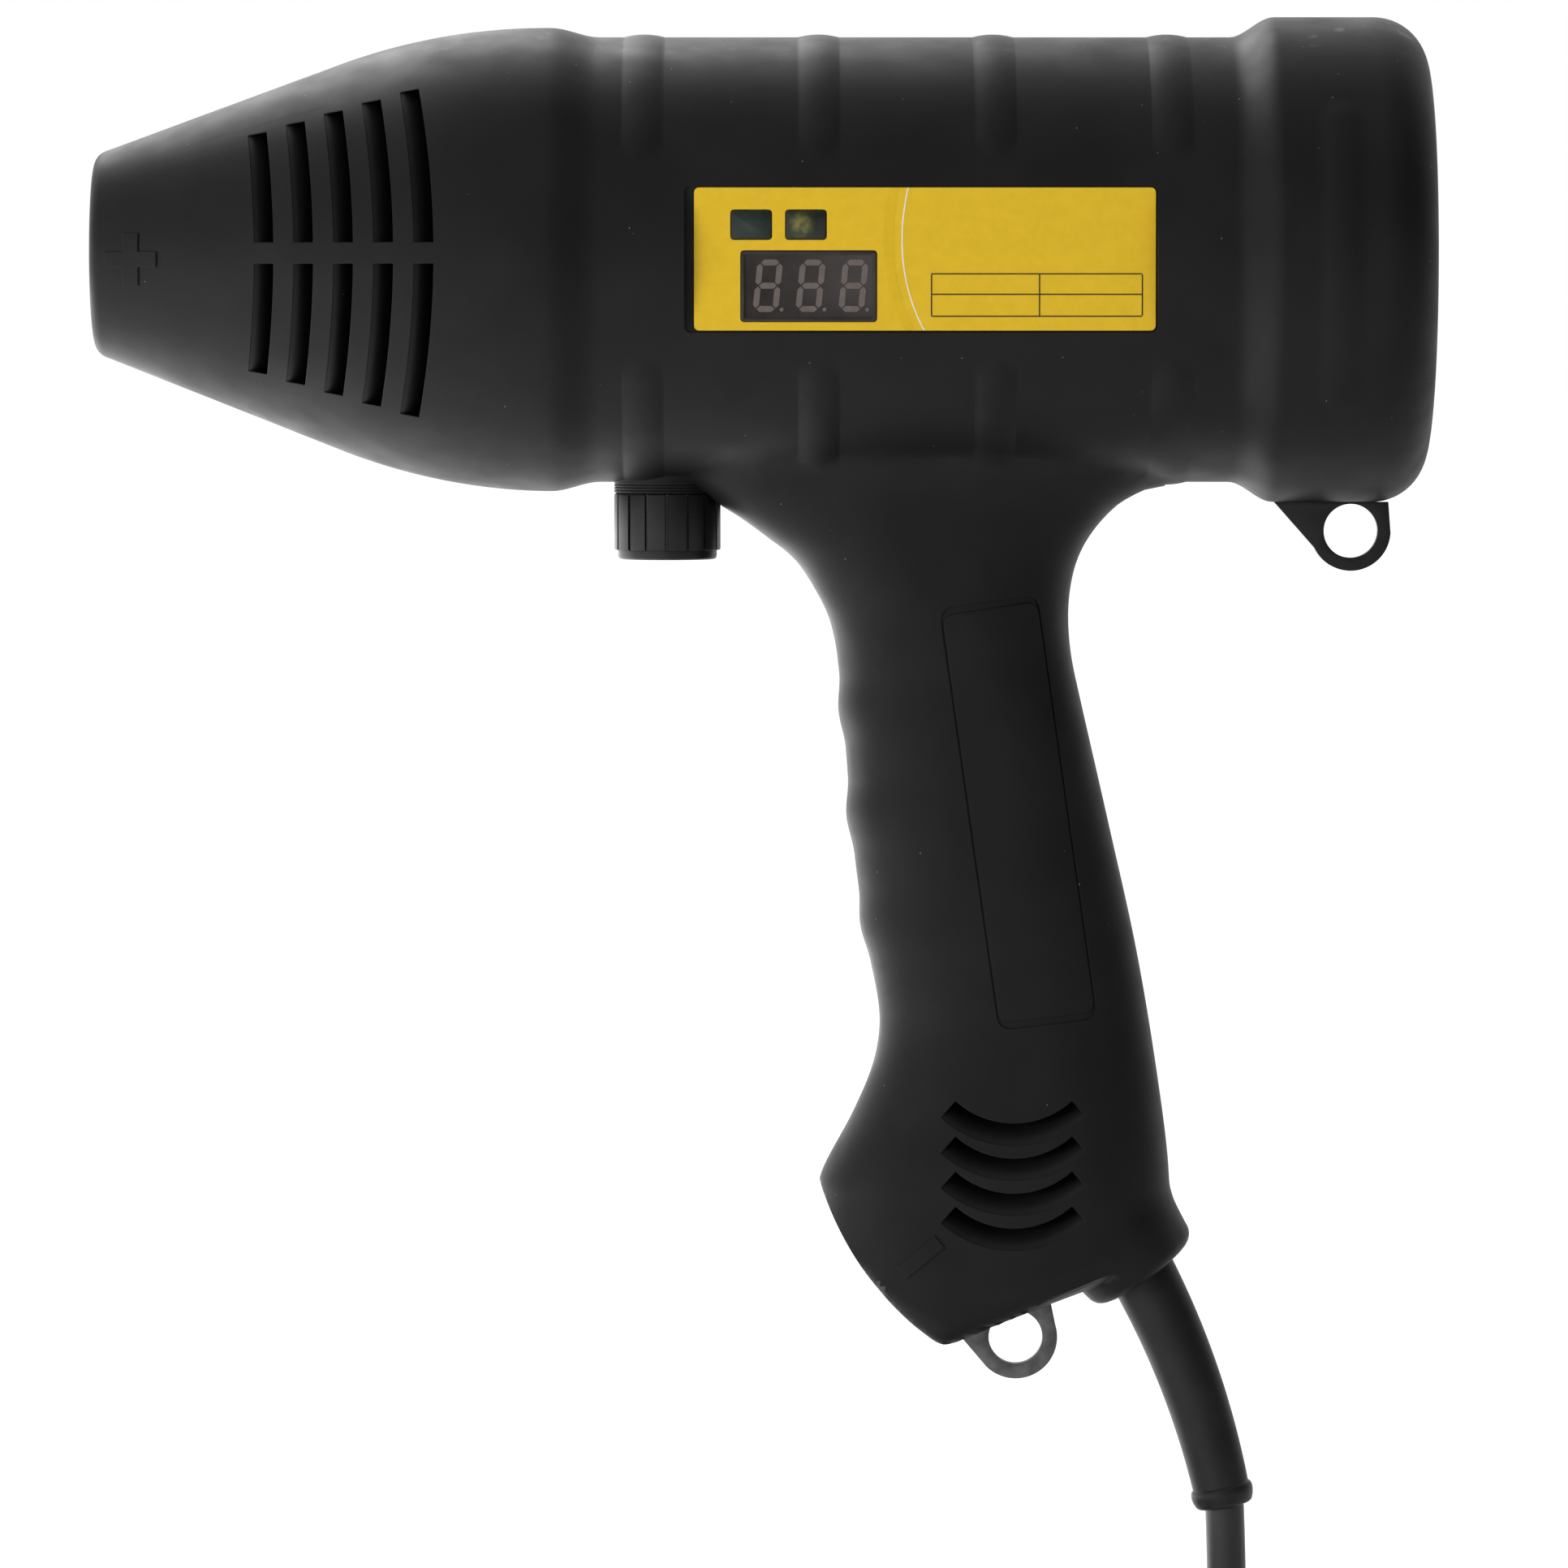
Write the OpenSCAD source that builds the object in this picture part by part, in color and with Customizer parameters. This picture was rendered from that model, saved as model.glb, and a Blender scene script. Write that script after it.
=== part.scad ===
// Gun-shaped inverter arc welder, built as two moulded halves round a power board, fan and two sockets.
// Millimetres. Origin at the centre of the hand grip, nose along -X, grip hanging along -Z, left side at -Y.

/* [Barrel] */
// Radius of the straight barrel
barrel_r = 47.7; // [46.5:0.1:49]
// Length of the straight barrel
barrel_len = 135; // [128:1:145]
// Distance from the grip centre back to the end of the straight barrel
barrel_back = 53.5; // [50:0.5:58]
// Height of the barrel axis above the grip centre
axis_h = 120.5; // [116:0.5:128]
// Wall of the moulded housing
wall = 2.6; // [2.2:0.1:3]

/* [Nose] */
// Length of the nose ahead of the straight barrel
nose_len = 108.5; // [100:0.5:118]
// Radius of the nose cone at its front face
nose_tip_r = 21.2; // [20.5:0.2:24]
// Radius of the nose at its crest
nose_crest_r = 49.7; // [49.2:0.1:51]
// Radius of the curve that rounds the cone into the crest
nose_arc_r = 127; // [110:1:132]
// Length of the step from the crest down to the barrel
nose_step_len = 10.5; // [8:0.5:14]
// Rounding of the front edge of the nose
nose_edge_r = 3.5; // [2:0.5:5]
// Thickness of the front face of the nose
nose_front_wall = 6; // [5:0.5:8]

/* [Rear cap] */
// Radius of the rear cap
cap_r = 52; // [51.5:0.5:54]
// Length of the rear cap with its ramp
cap_len = 42.4; // [42:0.1:48]
// Length of the ramp from the barrel up to the cap
cap_ramp_len = 9.5; // [7:0.5:11]
// Rounding of the rear edge
cap_edge_r = 11.5; // [10:0.5:12]
// Distance from the rounded rear edge in to the air opening
grille_in = 4; // [3.5:0.5:6.5]
// Thickness of the rear grille
grille_t = 3; // [2.5:0.5:4]

/* [Ribs and vents] */
// Distance from the barrel start to the first rib
rib_first = 9.6; // [7:0.2:12]
// Spacing of the four ribs
rib_pitch = 37.3; // [35:0.1:39]
// Width of a rib
rib_w = 8.8; // [6:0.2:10]
// Height of a rib above the barrel
rib_h = 0.5; // [0.3:0.1:1]
// Distance from the nose tip to the first vent
vent_first = 36.5; // [34:0.5:40]
// Spacing of the nose vents
vent_pitch = 8.55; // [7.5:0.05:9]
// Width of a nose vent
vent_w = 3.75; // [3:0.05:4.5]
// Half height of the first nose vent
vent_half_h = 25.6; // [22:0.2:27]
// Width of the slots in the grip base
grip_vent_w = 4.7; // [3.5:0.1:5]
// Spacing of the slots in the grip base
grip_vent_pitch = 7.5; // [7:0.1:8]

/* [Label] */
// Length of the label
label_l = 97; // [88:0.5:100]
// Height of the label
label_h = 30; // [28:0.5:32]
// Thickness of the label
label_t = 0.4; // [0.3:0.1:0.6]
// Length of the display window
display_l = 28.6; // [26:0.2:30]
// Height of the display window
display_h = 14.9; // [13:0.1:15.5]
// Length of an indicator window
lens_l = 8.6; // [7:0.1:9.5]
// Height of an indicator window
lens_h = 6.2; // [5:0.1:7]

/* [Grip] */
// Thickness of the grip across its sides
grip_thick = 40; // [38:0.5:44]
// Extra thickness at the base of the grip
base_extra = 5; // [3:0.5:7]
// Height of the finger ridges
ridge_h = 0.9; // [0.5:0.1:1.4]
// Slope of the front face of the base
base_front_a = 53.4; // [50:0.2:56]
// Slope of the underside of the base
base_under_a = 20.3; // [18:0.2:23]

/* [Sockets] */
// Bore that takes the cable plug
socket_bore_d = 9.4; // [8.6:0.1:10]
// Outside diameter of the brass insert
insert_d = 15; // [14:0.2:15.4]
// Outside diameter of the socket body
socket_body_d = 22; // [21:0.5:23]
// Outside diameter of the socket flange
socket_flange_d = 28; // [27:0.5:29]

/* [Knob] */
// Diameter of the current knob
knob_d = 22.9; // [21:0.1:24]
// Height of the current knob
knob_h = 14; // [13:0.5:16]
// Distance of the knob behind the barrel start
knob_at = 14.4; // [13:0.1:15]
// Diameter of the knob shaft
shaft_d = 6; // [5:0.5:6]

/* [Strap lugs] */
// Hole in a strap lug
lug_hole_d = 11.6; // [10:0.2:12.4]
// Outside diameter of a strap lug
lug_d = 17.2; // [16.8:0.1:18.5]
// Thickness of a strap lug
lug_t = 3; // [2.5:0.1:3.5]

/* [Fan] */
// Side of the square fan frame as a share of the width inside the rear cap
fan_share = 0.7085; // [0.67:0.0005:0.718]
// Thickness of the fan
fan_t = 25; // [20:0.5:25]
// Radius of the fan hub
hub_r = 14; // [12:0.5:16]

/* [Cord] */
// Diameter of the mains cord
cord_d = 8.4; // [8:0.1:8.6]
// Length of the bend relief outside the handle
sleeve_len = 52; // [50:0.5:54]
// Diameter of the bend relief where it leaves the handle
sleeve_d = 14.4; // [13.6:0.1:14.8]
// Number of whole turns in the coil, to which half a turn is added
coil_whole = 6; // [5:1:6]

/* [Fits] */
// Gap round a piece that is fitted in another
fit_gap = 0.1; // [0.05:0.05:0.2]
// Radial gap of a shaft that turns in a bore
run_gap = 0.05; // [0.03:0.01:0.08]

/* [Hidden] */
$fn = 64;
over = 1;
far = 400;

// Places along the barrel
barrel_x0 = barrel_back - barrel_len;
tip_x = barrel_x0 - nose_len;
crest_x = barrel_x0 - nose_step_len;
rear_x = barrel_back + cap_len;
under_z = axis_h - barrel_r;
barrel_in_r = barrel_r - wall;
cap_in_r = cap_r - wall;
grille_open_r = cap_r - cap_edge_r - grille_in;
fan_size = fan_share * 2 * cap_in_r;
arc_to_tip = [crest_x - tip_x, nose_crest_r - nose_arc_r - nose_tip_r];
cone_a = atan2(arc_to_tip[1], arc_to_tip[0]) + asin(nose_arc_r / norm(arc_to_tip));

function ease(t) = t * t * (3 - 2 * t);
function cone_r(x) = nose_tip_r + (x - tip_x) * tan(cone_a);
function crest_arc_r(x) = nose_crest_r - nose_arc_r + sqrt(pow(nose_arc_r, 2) - pow(x - crest_x, 2));

// Outline of the barrel from the cone to the rear edge, set in by w, as radius and place
function barrel_line(w, steps = 6) = concat(
  [for (i = [0:steps]) let (a = 90 + cone_a * (1 - i / steps))
    [nose_crest_r - nose_arc_r + (nose_arc_r - w) * sin(a), crest_x + (nose_arc_r - w) * cos(a)]],
  [for (i = [1:steps]) let (t = i / steps)
    [nose_crest_r - w + (barrel_r - nose_crest_r) * ease(t), crest_x + nose_step_len * t]],
  [for (i = [0:steps]) let (t = i / steps)
    [barrel_r - w + (cap_r - barrel_r) * ease(t), barrel_back + cap_ramp_len * t]],
  [for (i = [0:steps]) let (a = 90 - 90 * i / steps)
    [cap_r - cap_edge_r + (cap_edge_r - w) * sin(a), rear_x - cap_edge_r + (cap_edge_r - w) * cos(a)]]);

tip_arc_r0 = nose_tip_r - nose_edge_r * (1 - sin(cone_a)) / cos(cone_a);
tip_arc = [for (i = [0:4]) let (a = 180 - (90 - cone_a) * i / 4)
  [tip_arc_r0 + nose_edge_r * sin(a), tip_x + nose_edge_r + nose_edge_r * cos(a)]];
inner_front_x = tip_x + nose_front_wall;
inner_front_r = cone_r(inner_front_x) - wall / cos(cone_a);

// Turns a shape made along Z so that it lies along the barrel
module on_axis() {
  translate([0, 0, axis_h])
    rotate([0, 90, 0])
      children();
}

module barrel_outer() {
  on_axis()
    rotate_extrude()
      polygon(concat([[0, tip_x]], tip_arc, barrel_line(0), [[0, rear_x]]));
}

module barrel_inner() {
  on_axis()
    rotate_extrude()
      polygon(concat([[0, inner_front_x], [inner_front_r, inner_front_x]], barrel_line(wall),
        [[0, rear_x - wall]]));
}

// Raised band round part of a barrel of radius r, from place x0 on
rib_bevel = 1.4;
rib_root = 1.2;
module raised_band(r, x0, w, start_a, span_a) {
  on_axis()
    translate([0, 0, x0])
      rotate([0, 0, start_a])
        rotate_extrude(angle = span_a)
          polygon([[r - rib_root, 0], [r, 0], [r + rib_h, rib_bevel], [r + rib_h, w - rib_bevel],
            [r, w], [r - rib_root, w]]);
}

// Ribs over the top and the underside, and a thumb band on each side of the rear cap
rib_count = 4;
rib_clear_a = 27;
band_w = 8.5;
band_a = 78;
band_x1 = rear_x - 16.4;
function rib_x(i) = barrel_x0 + rib_first + i * rib_pitch - rib_w / 2;
module ribs() {
  for (i = [0:rib_count - 1])
    for (turn = [0, 180])
      raised_band(barrel_r, rib_x(i), rib_w, turn + rib_clear_a - 90, 180 - 2 * rib_clear_a);
  for (turn = [-90, 90])
    raised_band(cap_r, band_x1 - band_w, band_w, turn - band_a / 2, band_a);
}

// Grip outline: height and place of its front and rear edges
base_low = [-8, -111.2];
grip_front = [[-125, -62], [-77, -34.6], [-63, -27], [-52, -22.6], [-42, -21.4], [-28, -23.8],
  [-14, -26], [0, -27.6], [14, -28.6], [under_z - 37, -30.4], [under_z - 30, -32.2],
  [under_z - 23, -35.4], [under_z - 16, -39.6], [under_z - 9, -47], [under_z - 4, -55],
  [under_z, -64], [under_z + 10, -68]];
grip_rear = [[-125, 43.5], [-77, 41.2], [-56, 38.7], [-28, 34], [0, 27.8], [under_z - 44, 21.2],
  [under_z - 37, 19.8], [under_z - 30, 19.2], [under_z - 23, 19.5], [under_z - 16, 21],
  [under_z - 9, 24.6], [under_z - 5, 28.4], [under_z - 2, 33.5], [under_z, 41], [under_z + 10, 46]];
ridge_at = [23.6, 0.9, -22.7];
ridge_half = 8;

function slot_of(list, z, i = 0) = i >= len(list) - 2 || z < list[i + 1][0] ? i : slot_of(list, z, i + 1);
function slope(list, i) = let (a = max(i - 1, 0), b = min(i + 1, len(list) - 1))
  (list[b][1] - list[a][1]) / (list[b][0] - list[a][0]);
function curve(list, z) = let (i = slot_of(list, z), d = list[i + 1][0] - list[i][0],
    t = (z - list[i][0]) / d)
  list[i][1] * (1 - ease(t)) + list[i + 1][1] * ease(t)
  + d * (slope(list, i) * t * (1 - t) * (1 - t) - slope(list, i + 1) * t * t * (1 - t));
function ridge(z) = ridge_h * max([for (r = ridge_at) 1 - min(1, abs(z - r) / ridge_half)]);
function front_x(z) = curve(grip_front, z) - ridge(z);
function rear_x_at(z) = curve(grip_rear, z);
function half_room(z) = grip_thick / 2 + base_extra / 2 * ease(min(1, max(0, (-z - 40) / 35)));
flare_below = 8;
flare_above = 9.5;
flare_y = sqrt(pow(barrel_r, 2) - pow(barrel_r - flare_above, 2)) - grip_thick / 2 - 0.6;
function half_y(z) = half_room(z)
  + flare_y * pow(max(0, (z - under_z + flare_below) / (flare_below + flare_above)), 3);

// One cross-section of half the grip, closed beyond the parting plane
round_n = 2.7;
grip_steps = 12;
function section(x0, x1, b, z, side, back) = let (c = (x0 + x1) / 2, a = (x1 - x0) / 2) concat(
  [for (i = [0:grip_steps]) let (t = 180 * i / grip_steps)
    [c + a * sign(cos(t)) * pow(abs(cos(t)), 2 / round_n), side * b * pow(sin(t), 2 / round_n), z]],
  [[x0, -side * back, z], [x1, -side * back, z]]);

// Skin over a stack of sections with the same number of points
module stack(rows, flip) {
  n = len(rows[0]);
  m = len(rows);
  low = [for (i = [0:n - 1]) i];
  high = [for (i = [n - 1:-1:0]) (m - 1) * n + i];
  skin = [for (k = [0:m - 2]) for (i = [0:n - 1]) let (j = (i + 1) % n)
    each [[k * n + i, (k + 1) * n + i, (k + 1) * n + j], [k * n + i, (k + 1) * n + j, k * n + j]]];
  faces = concat([low], skin, [high]);
  polyhedron([for (r = rows) each r], flip ? [for (f = faces) [for (i = [len(f) - 1:-1:0]) f[i]]] : faces);
}

outer_z = concat([-125, -77, -70, -63, -57, -52, -47, -42, -36, -30.7, -26.7, -22.7, -18.7, -14.7,
  -7.1, -3.1, 0.9, 4.9, 8.9, 15.6, 19.6, 23.6, 27.6, 31.6],
  [for (d = [37, 33, 29, 25, 21, 17, 13, 9, 6, 4, 2, 0, -2.5, -5, -7.5, -flare_above]) under_z - d]);
inner_z = concat([-123, -77, -63, -52, -42, -20, 0, 20], [for (d = [37, 27, 20, 13, 7, 0, -14]) under_z - d]);

module grip_outer(side) {
  stack([for (z = outer_z) section(front_x(z), rear_x_at(z), half_y(z), z, side, over)], side < 0);
}

// Room inside the grip, kept clear of the knob
knob_x = barrel_x0 + knob_at;
knob_clear_r = knob_d / 2 + 0.8;
knob_room = 4;
inner_front_min = knob_x + knob_clear_r + wall;
module grip_inner(side) {
  stack([for (z = inner_z) section(max(curve(grip_front, z) + wall, inner_front_min),
    rear_x_at(z) - wall, half_room(z) - wall, z, side, 2 * over)], side < 0);
}

// Front face of the base, bowed outwards between its two edges
base_front_l = 44.8;
base_bow = 3.7;
base_bow_r = (base_front_l * base_front_l / 4 + base_bow * base_bow) / (2 * base_bow);
ground_sink = 1.5;
module at_base_front() {
  translate([base_low[0] - base_front_l / 2 * cos(base_front_a), 0,
    base_low[1] + base_front_l / 2 * sin(base_front_a)])
    rotate([0, base_front_a - 180, 0])
      children();
}

// What lies above the underside of the base, behind its flat front and in its bow
module above_under(set_in) {
  translate([base_low[0], 0, base_low[1]])
    rotate([0, -base_under_a, 0])
      translate([-far / 2, -far / 2, set_in])
        cube(far);
}
module behind_front(set_in) {
  at_base_front()
    translate([-far / 2, -far / 2, -far - set_in])
      cube(far);
}
module front_bow() {
  at_base_front()
    translate([0, far / 2, base_bow - base_bow_r])
      rotate([90, 0, 0])
        cylinder(r = base_bow_r, h = far);
}

// Place and direction of the ground socket on the front face of the base
ground_out = base_bow - ground_sink;
ground_at = [base_low[0] - base_front_l / 2 * cos(base_front_a) - ground_out * sin(base_front_a),
  base_low[1] + base_front_l / 2 * sin(base_front_a) - ground_out * cos(base_front_a)];
module at_ground() {
  translate([ground_at[0], 0, ground_at[1]])
    rotate([0, base_front_a - 180, 0])
      children();
}
module at_front() {
  translate([tip_x, 0, axis_h])
    rotate([0, -90, 0])
      children();
}

// Gland boss at the rear of the base
gland_at = [35.6, -98.4];
gland_lean = 36;
gland_r = 12.5;
gland_len = 24;
gland_edge_r = 3.5;
gland_lip = 5;
sleeve_head_r = 9.6;
sleeve_head_t = 4;
module at_gland() {
  translate([gland_at[0], 0, gland_at[1]])
    rotate([0, 180 - gland_lean, 0])
      children();
}
module gland_outer() {
  at_gland()
    rotate_extrude()
      polygon(concat([[0, -gland_len], [gland_r, -gland_len]],
        [for (i = [0:4]) let (a = 90 * i / 4) [gland_r - gland_edge_r + gland_edge_r * cos(a),
          -gland_edge_r + gland_edge_r * sin(a)]], [[0, 0]]));
}
module gland_inner() {
  at_gland()
    translate([0, 0, -gland_len - over])
      cylinder(r = sleeve_head_r + fit_gap, h = gland_len + over - gland_lip);
  at_gland()
    translate([0, 0, -gland_len])
      cylinder(d = sleeve_d + 2 * fit_gap, h = gland_len + over);
}

// Sockets, made along Z with the flange face at zero
flange_t = 3;
flange_edge = 1;
socket_len = 22;
socket_back_t = 2;
insert_in = 3;
bore_len = 16;
stud_d = 8;
stud_len = 14;
lug_plate_t = 2;
socket_nut_d = 28;
socket_nut_t = 4;
key_w = 3;
key_h = 1.6;
stud_nut_d = 13;
stud_nut_t = 4;
clip_at = socket_len + 8;

module socket_seat() {
  translate([0, 0, -flange_t - fit_gap])
    cylinder(d = socket_flange_d + 2 * fit_gap, h = flange_t + fit_gap + ground_sink + over);
  translate([0, 0, -nose_front_wall - over])
    cylinder(d = socket_body_d + 2 * fit_gap, h = nose_front_wall + over);
}
module socket_shell() {
  rotate_extrude()
    polygon([[insert_d / 2 + fit_gap, 0], [socket_flange_d / 2 - flange_edge, 0],
      [socket_flange_d / 2, -flange_edge], [socket_flange_d / 2, -flange_t],
      [socket_body_d / 2, -flange_t], [socket_body_d / 2, -socket_len],
      [stud_d / 2 + fit_gap, -socket_len], [stud_d / 2 + fit_gap, -socket_len + socket_back_t],
      [insert_d / 2 + fit_gap, -socket_len + socket_back_t]]);
}
module socket_insert() {
  difference() {
    union() {
      translate([0, 0, -socket_len + socket_back_t])
        cylinder(d = insert_d, h = socket_len - socket_back_t - insert_in);
      translate([0, 0, -socket_len - stud_len])
        cylinder(d = stud_d, h = stud_len + socket_back_t + over);
    }
    translate([0, 0, -insert_in - bore_len])
      cylinder(d = socket_bore_d, h = bore_len + over);
    translate([-key_w / 2, 0, -insert_in - key_w])
      cube([key_w, socket_bore_d / 2 + key_h, key_w + over]);
  }
}
module socket_nut() {
  difference() {
    translate([0, 0, -nose_front_wall - socket_nut_t])
      cylinder(d = socket_nut_d, h = socket_nut_t, $fn = 8);
    translate([0, 0, -nose_front_wall - socket_nut_t - over])
      cylinder(d = socket_body_d + 2 * fit_gap, h = socket_nut_t + 2 * over);
  }
}
module stud_nut() {
  difference() {
    translate([0, 0, -clip_at - lug_plate_t - stud_nut_t])
      cylinder(d = stud_nut_d, h = stud_nut_t, $fn = 6);
    translate([0, 0, -clip_at - lug_plate_t - stud_nut_t - over])
      cylinder(d = stud_d + 2 * fit_gap, h = stud_nut_t + 2 * over);
  }
}

// Label pocket on the left side
label_gap = 0.4;
label_back = 12.4;
label_x = -label_back;
pocket_front = 2;
pocket_l = label_l + label_gap + pocket_front;
pocket_x = label_x - (pocket_front - label_gap) / 2;
pocket_h = label_h + 2 * label_gap;
pocket_y = sqrt(barrel_r * barrel_r - pocket_h * pocket_h / 4) - label_t;
pad_t = 2.4;
pad_edge = 0.4;
pad_side = 1;
pad_h = 2 * sqrt(barrel_r * barrel_r - pocket_y * pocket_y) - pad_edge;
display_off = [-24.4, -5.7];
lens_off = [[-36.5, 7.2], [-25, 7.2]];
display_size = [display_l, display_h];
lens_size = [lens_l, lens_h];
window_gap = [2 * fit_gap, 2 * fit_gap];
display_rim = [2.4, 2.4];
display_deep = 0.3;
corner_r = 1.2;

module pad_face(l, h, t, r) {
  rotate([90, 0, 0])
    linear_extrude(t)
      translate([-l / 2, -h / 2])
        rounded_rect(l, h, r);
}
// Rectangle with rounded corners
module rounded_rect(l, h, r) {
  union() {
    translate([r, 0])
      square([l - 2 * r, h]);
    translate([0, r])
      square([l, h - 2 * r]);
    for (x = [r, l - r])
      for (y = [r, h - r])
        translate([x, y])
          circle(r);
  }
}
module window(off, size, y0, t) {
  translate([label_x + off[0] - size[0] / 2, y0, axis_h + off[1] - size[1] / 2])
    cube([size[0], t, size[1]]);
}
module label_windows(y0, t) {
  window(display_off, display_size + window_gap, y0, t);
  for (o = lens_off)
    window(o, lens_size + window_gap, y0, t);
}

// Bosses and screws that hold the two halves together
boss_r = 5.6;
screw_r = 2;
screw_head_r = 3.6;
screw_head_t = 2.6;
boss_share = 0.72;
screw_room = 0.4;
hex_r = 1.3;
hex_deep = 1.5;
function round_boss(x, r, up) = [x, axis_h + up * boss_share * r,
  sqrt(r * r - pow(boss_share * r + boss_r, 2)) - over];
grip_boss_l = grip_thick / 2 - wall / 2;
tip_boss_x = tip_x + 19;
crest_boss_x = crest_x - 12;
rear_boss_x = rib_x(rib_count - 1) + rib_w + screw_head_r + screw_room + 0.5;
bosses = [round_boss(tip_boss_x, cone_r(tip_boss_x), 1), round_boss(tip_boss_x, cone_r(tip_boss_x), -1),
  round_boss(crest_boss_x, crest_arc_r(crest_boss_x), 1),
  round_boss(crest_boss_x, crest_arc_r(crest_boss_x), -1),
  round_boss(rear_boss_x, barrel_r, 1), round_boss(rear_boss_x, barrel_r, -1),
  [-5, under_z - 28, grip_boss_l], [6, -14, grip_boss_l], [20, -60, grip_boss_l]];
function head_y(b) = b[2] / 2;
function tip_y(b) = 0.8 * b[2];

// Places of the inner pieces
board_drop = 20;
board_t = 1.6;
rail_h = 5;
rail_w = 7;
board_side_gap = 1.5;
board_half = sqrt(barrel_in_r * barrel_in_r - pow(board_drop + board_t, 2)) - board_side_gap;
board_top = axis_h - board_drop;
board_low = board_top - board_t;
board_x0 = barrel_x0 + 4;
board_x1 = barrel_back - 4;
rail_y1 = sqrt(pow(barrel_r - wall / 2, 2) - pow(board_drop + board_t + rail_h, 2));
rail_y0 = board_half - rail_w;
fan_x1 = rear_x - wall - grille_t;
fan_x0 = fan_x1 - fan_t;
stop_t = 3;
stop_in_r = fan_size / 2 + 5;
fan_hole = fan_size / 2 - 4.25;
fan_screw_in = 10;
pot_seat = under_z + 5;
collar_h = 2.2;
bushing_r = shaft_d / 2 + 1;
bushing_out = 3;
collar_root = 3;
pot_r = bushing_r + 4.5;
pot_pad_r = bushing_r + 6;
knob_gap = 0.4;
disp_t = 7;
disp_board_t = 1.6;
disp_face = pocket_y + label_t;
disp_back = disp_face - disp_t;
disp_board_l = 62;
disp_board_h = 28;
post_r = 2.4;
post_sink = 0.5;
post_inset = 4;
post_hole_l = 3.6;
post_screw_r = 1;
post_screw_l = 3.2;
post_head_r = 2;
post_head_t = 1.4;
post_x = disp_board_l / 2 - post_inset;
post_z = disp_board_h / 2 - post_inset;
post_at = [[-post_x, -post_z], [post_x, post_z], [post_x, -post_z]];
disp_board_x = label_x - 20;

// Strap lugs
lug_drop = lug_hole_d / 2 + 0.4;
lug_neck_x = [-7, 3];
lug_head_x = [-9.5, 5];
lug_head_t = 2.5;
rear_lug_x = rear_x - 16;
handle_lug_along = 14.8;
lug_slant = 16.5;
lug_clip = 0.6;
module at_handle_lug() {
  translate([base_low[0] + handle_lug_along * cos(base_under_a), 0,
    base_low[1] + handle_lug_along * sin(base_under_a)])
    rotate([0, -base_under_a, 0])
      children();
}
module at_rear_lug() {
  translate([rear_lug_x, 0, axis_h - cap_r])
    children();
}
module lug_slot() {
  translate([lug_neck_x[0] - fit_gap, -lug_t / 2 - fit_gap, -over])
    cube([lug_neck_x[1] - lug_neck_x[0] + 2 * fit_gap, lug_t + 2 * fit_gap, wall + 2 * over]);
}
module strap_lug() {
  rotate([90, 0, 0])
    translate([0, 0, -lug_t / 2])
      linear_extrude(lug_t)
        difference() {
          union() {
            difference() {
              translate([0, -lug_drop])
                circle(d = lug_d);
              translate([-lug_d, -lug_clip])
                square([2 * lug_d, lug_d]);
            }
            polygon([[-lug_slant, -fit_gap], [-lug_slant + 1, -fit_gap - 1],
              [-lug_d / 2 + 1.2, -lug_drop - 3], [lug_d / 2 - 0.6, -lug_drop],
              [lug_d / 2 - 0.6, -fit_gap]]);
            translate([lug_neck_x[0], -lug_clip])
              square([lug_neck_x[1] - lug_neck_x[0], wall + fit_gap + lug_clip + over]);
            translate([lug_head_x[0], wall + fit_gap])
              square([lug_head_x[1] - lug_head_x[0], lug_head_t]);
          }
          translate([0, -lug_drop])
            circle(d = lug_hole_d);
        }
}

// Curved slots: five columns in the nose, four rows in the grip base
vent_bow_r = 200;
vent_grow = 2.1;
vent_bar = 4.5;
vent_tilt = 10;
vent_rows = 5;
vent_from = 10;
grip_vent_rows = 4;
function bow(z) = vent_bow_r - sqrt(vent_bow_r * vent_bow_r - z * z);
function vent_outline(i, up) = let (x = tip_x + vent_first + i * vent_pitch, h = vent_half_h + i * vent_grow)
  concat([for (k = [0:3]) let (z = vent_bar / 2 + (h - vent_bar / 2) * k / 3) [x - bow(z), up * z]],
    [for (k = [3:-1:0]) let (z = vent_bar / 2 + (h + vent_w * tan(vent_tilt) - vent_bar / 2) * k / 3)
      [x + vent_w - bow(z), up * z]]);
grip_vent_x = 7.1;
grip_vent_z = -45;
grip_vent_r = 18.8;
grip_vent_a = 43;
function smile(i) = concat(
  [for (k = [0:6]) let (a = -90 - grip_vent_a + 2 * grip_vent_a * k / 6)
    [grip_vent_x + grip_vent_r * cos(a), grip_vent_z - i * grip_vent_pitch + grip_vent_r * sin(a)]],
  [for (k = [6:-1:0]) let (a = -90 - grip_vent_a + 2 * grip_vent_a * k / 6, r = grip_vent_r + grip_vent_w)
    [grip_vent_x + r * cos(a), grip_vent_z - i * grip_vent_pitch + r * sin(a)]]);
module through(side, outline, y0) {
  translate([0, side > 0 ? far / 2 + y0 : -y0, 0])
    rotate([90, 0, 0])
      linear_extrude(far / 2)
        polygon(outline);
}

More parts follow.
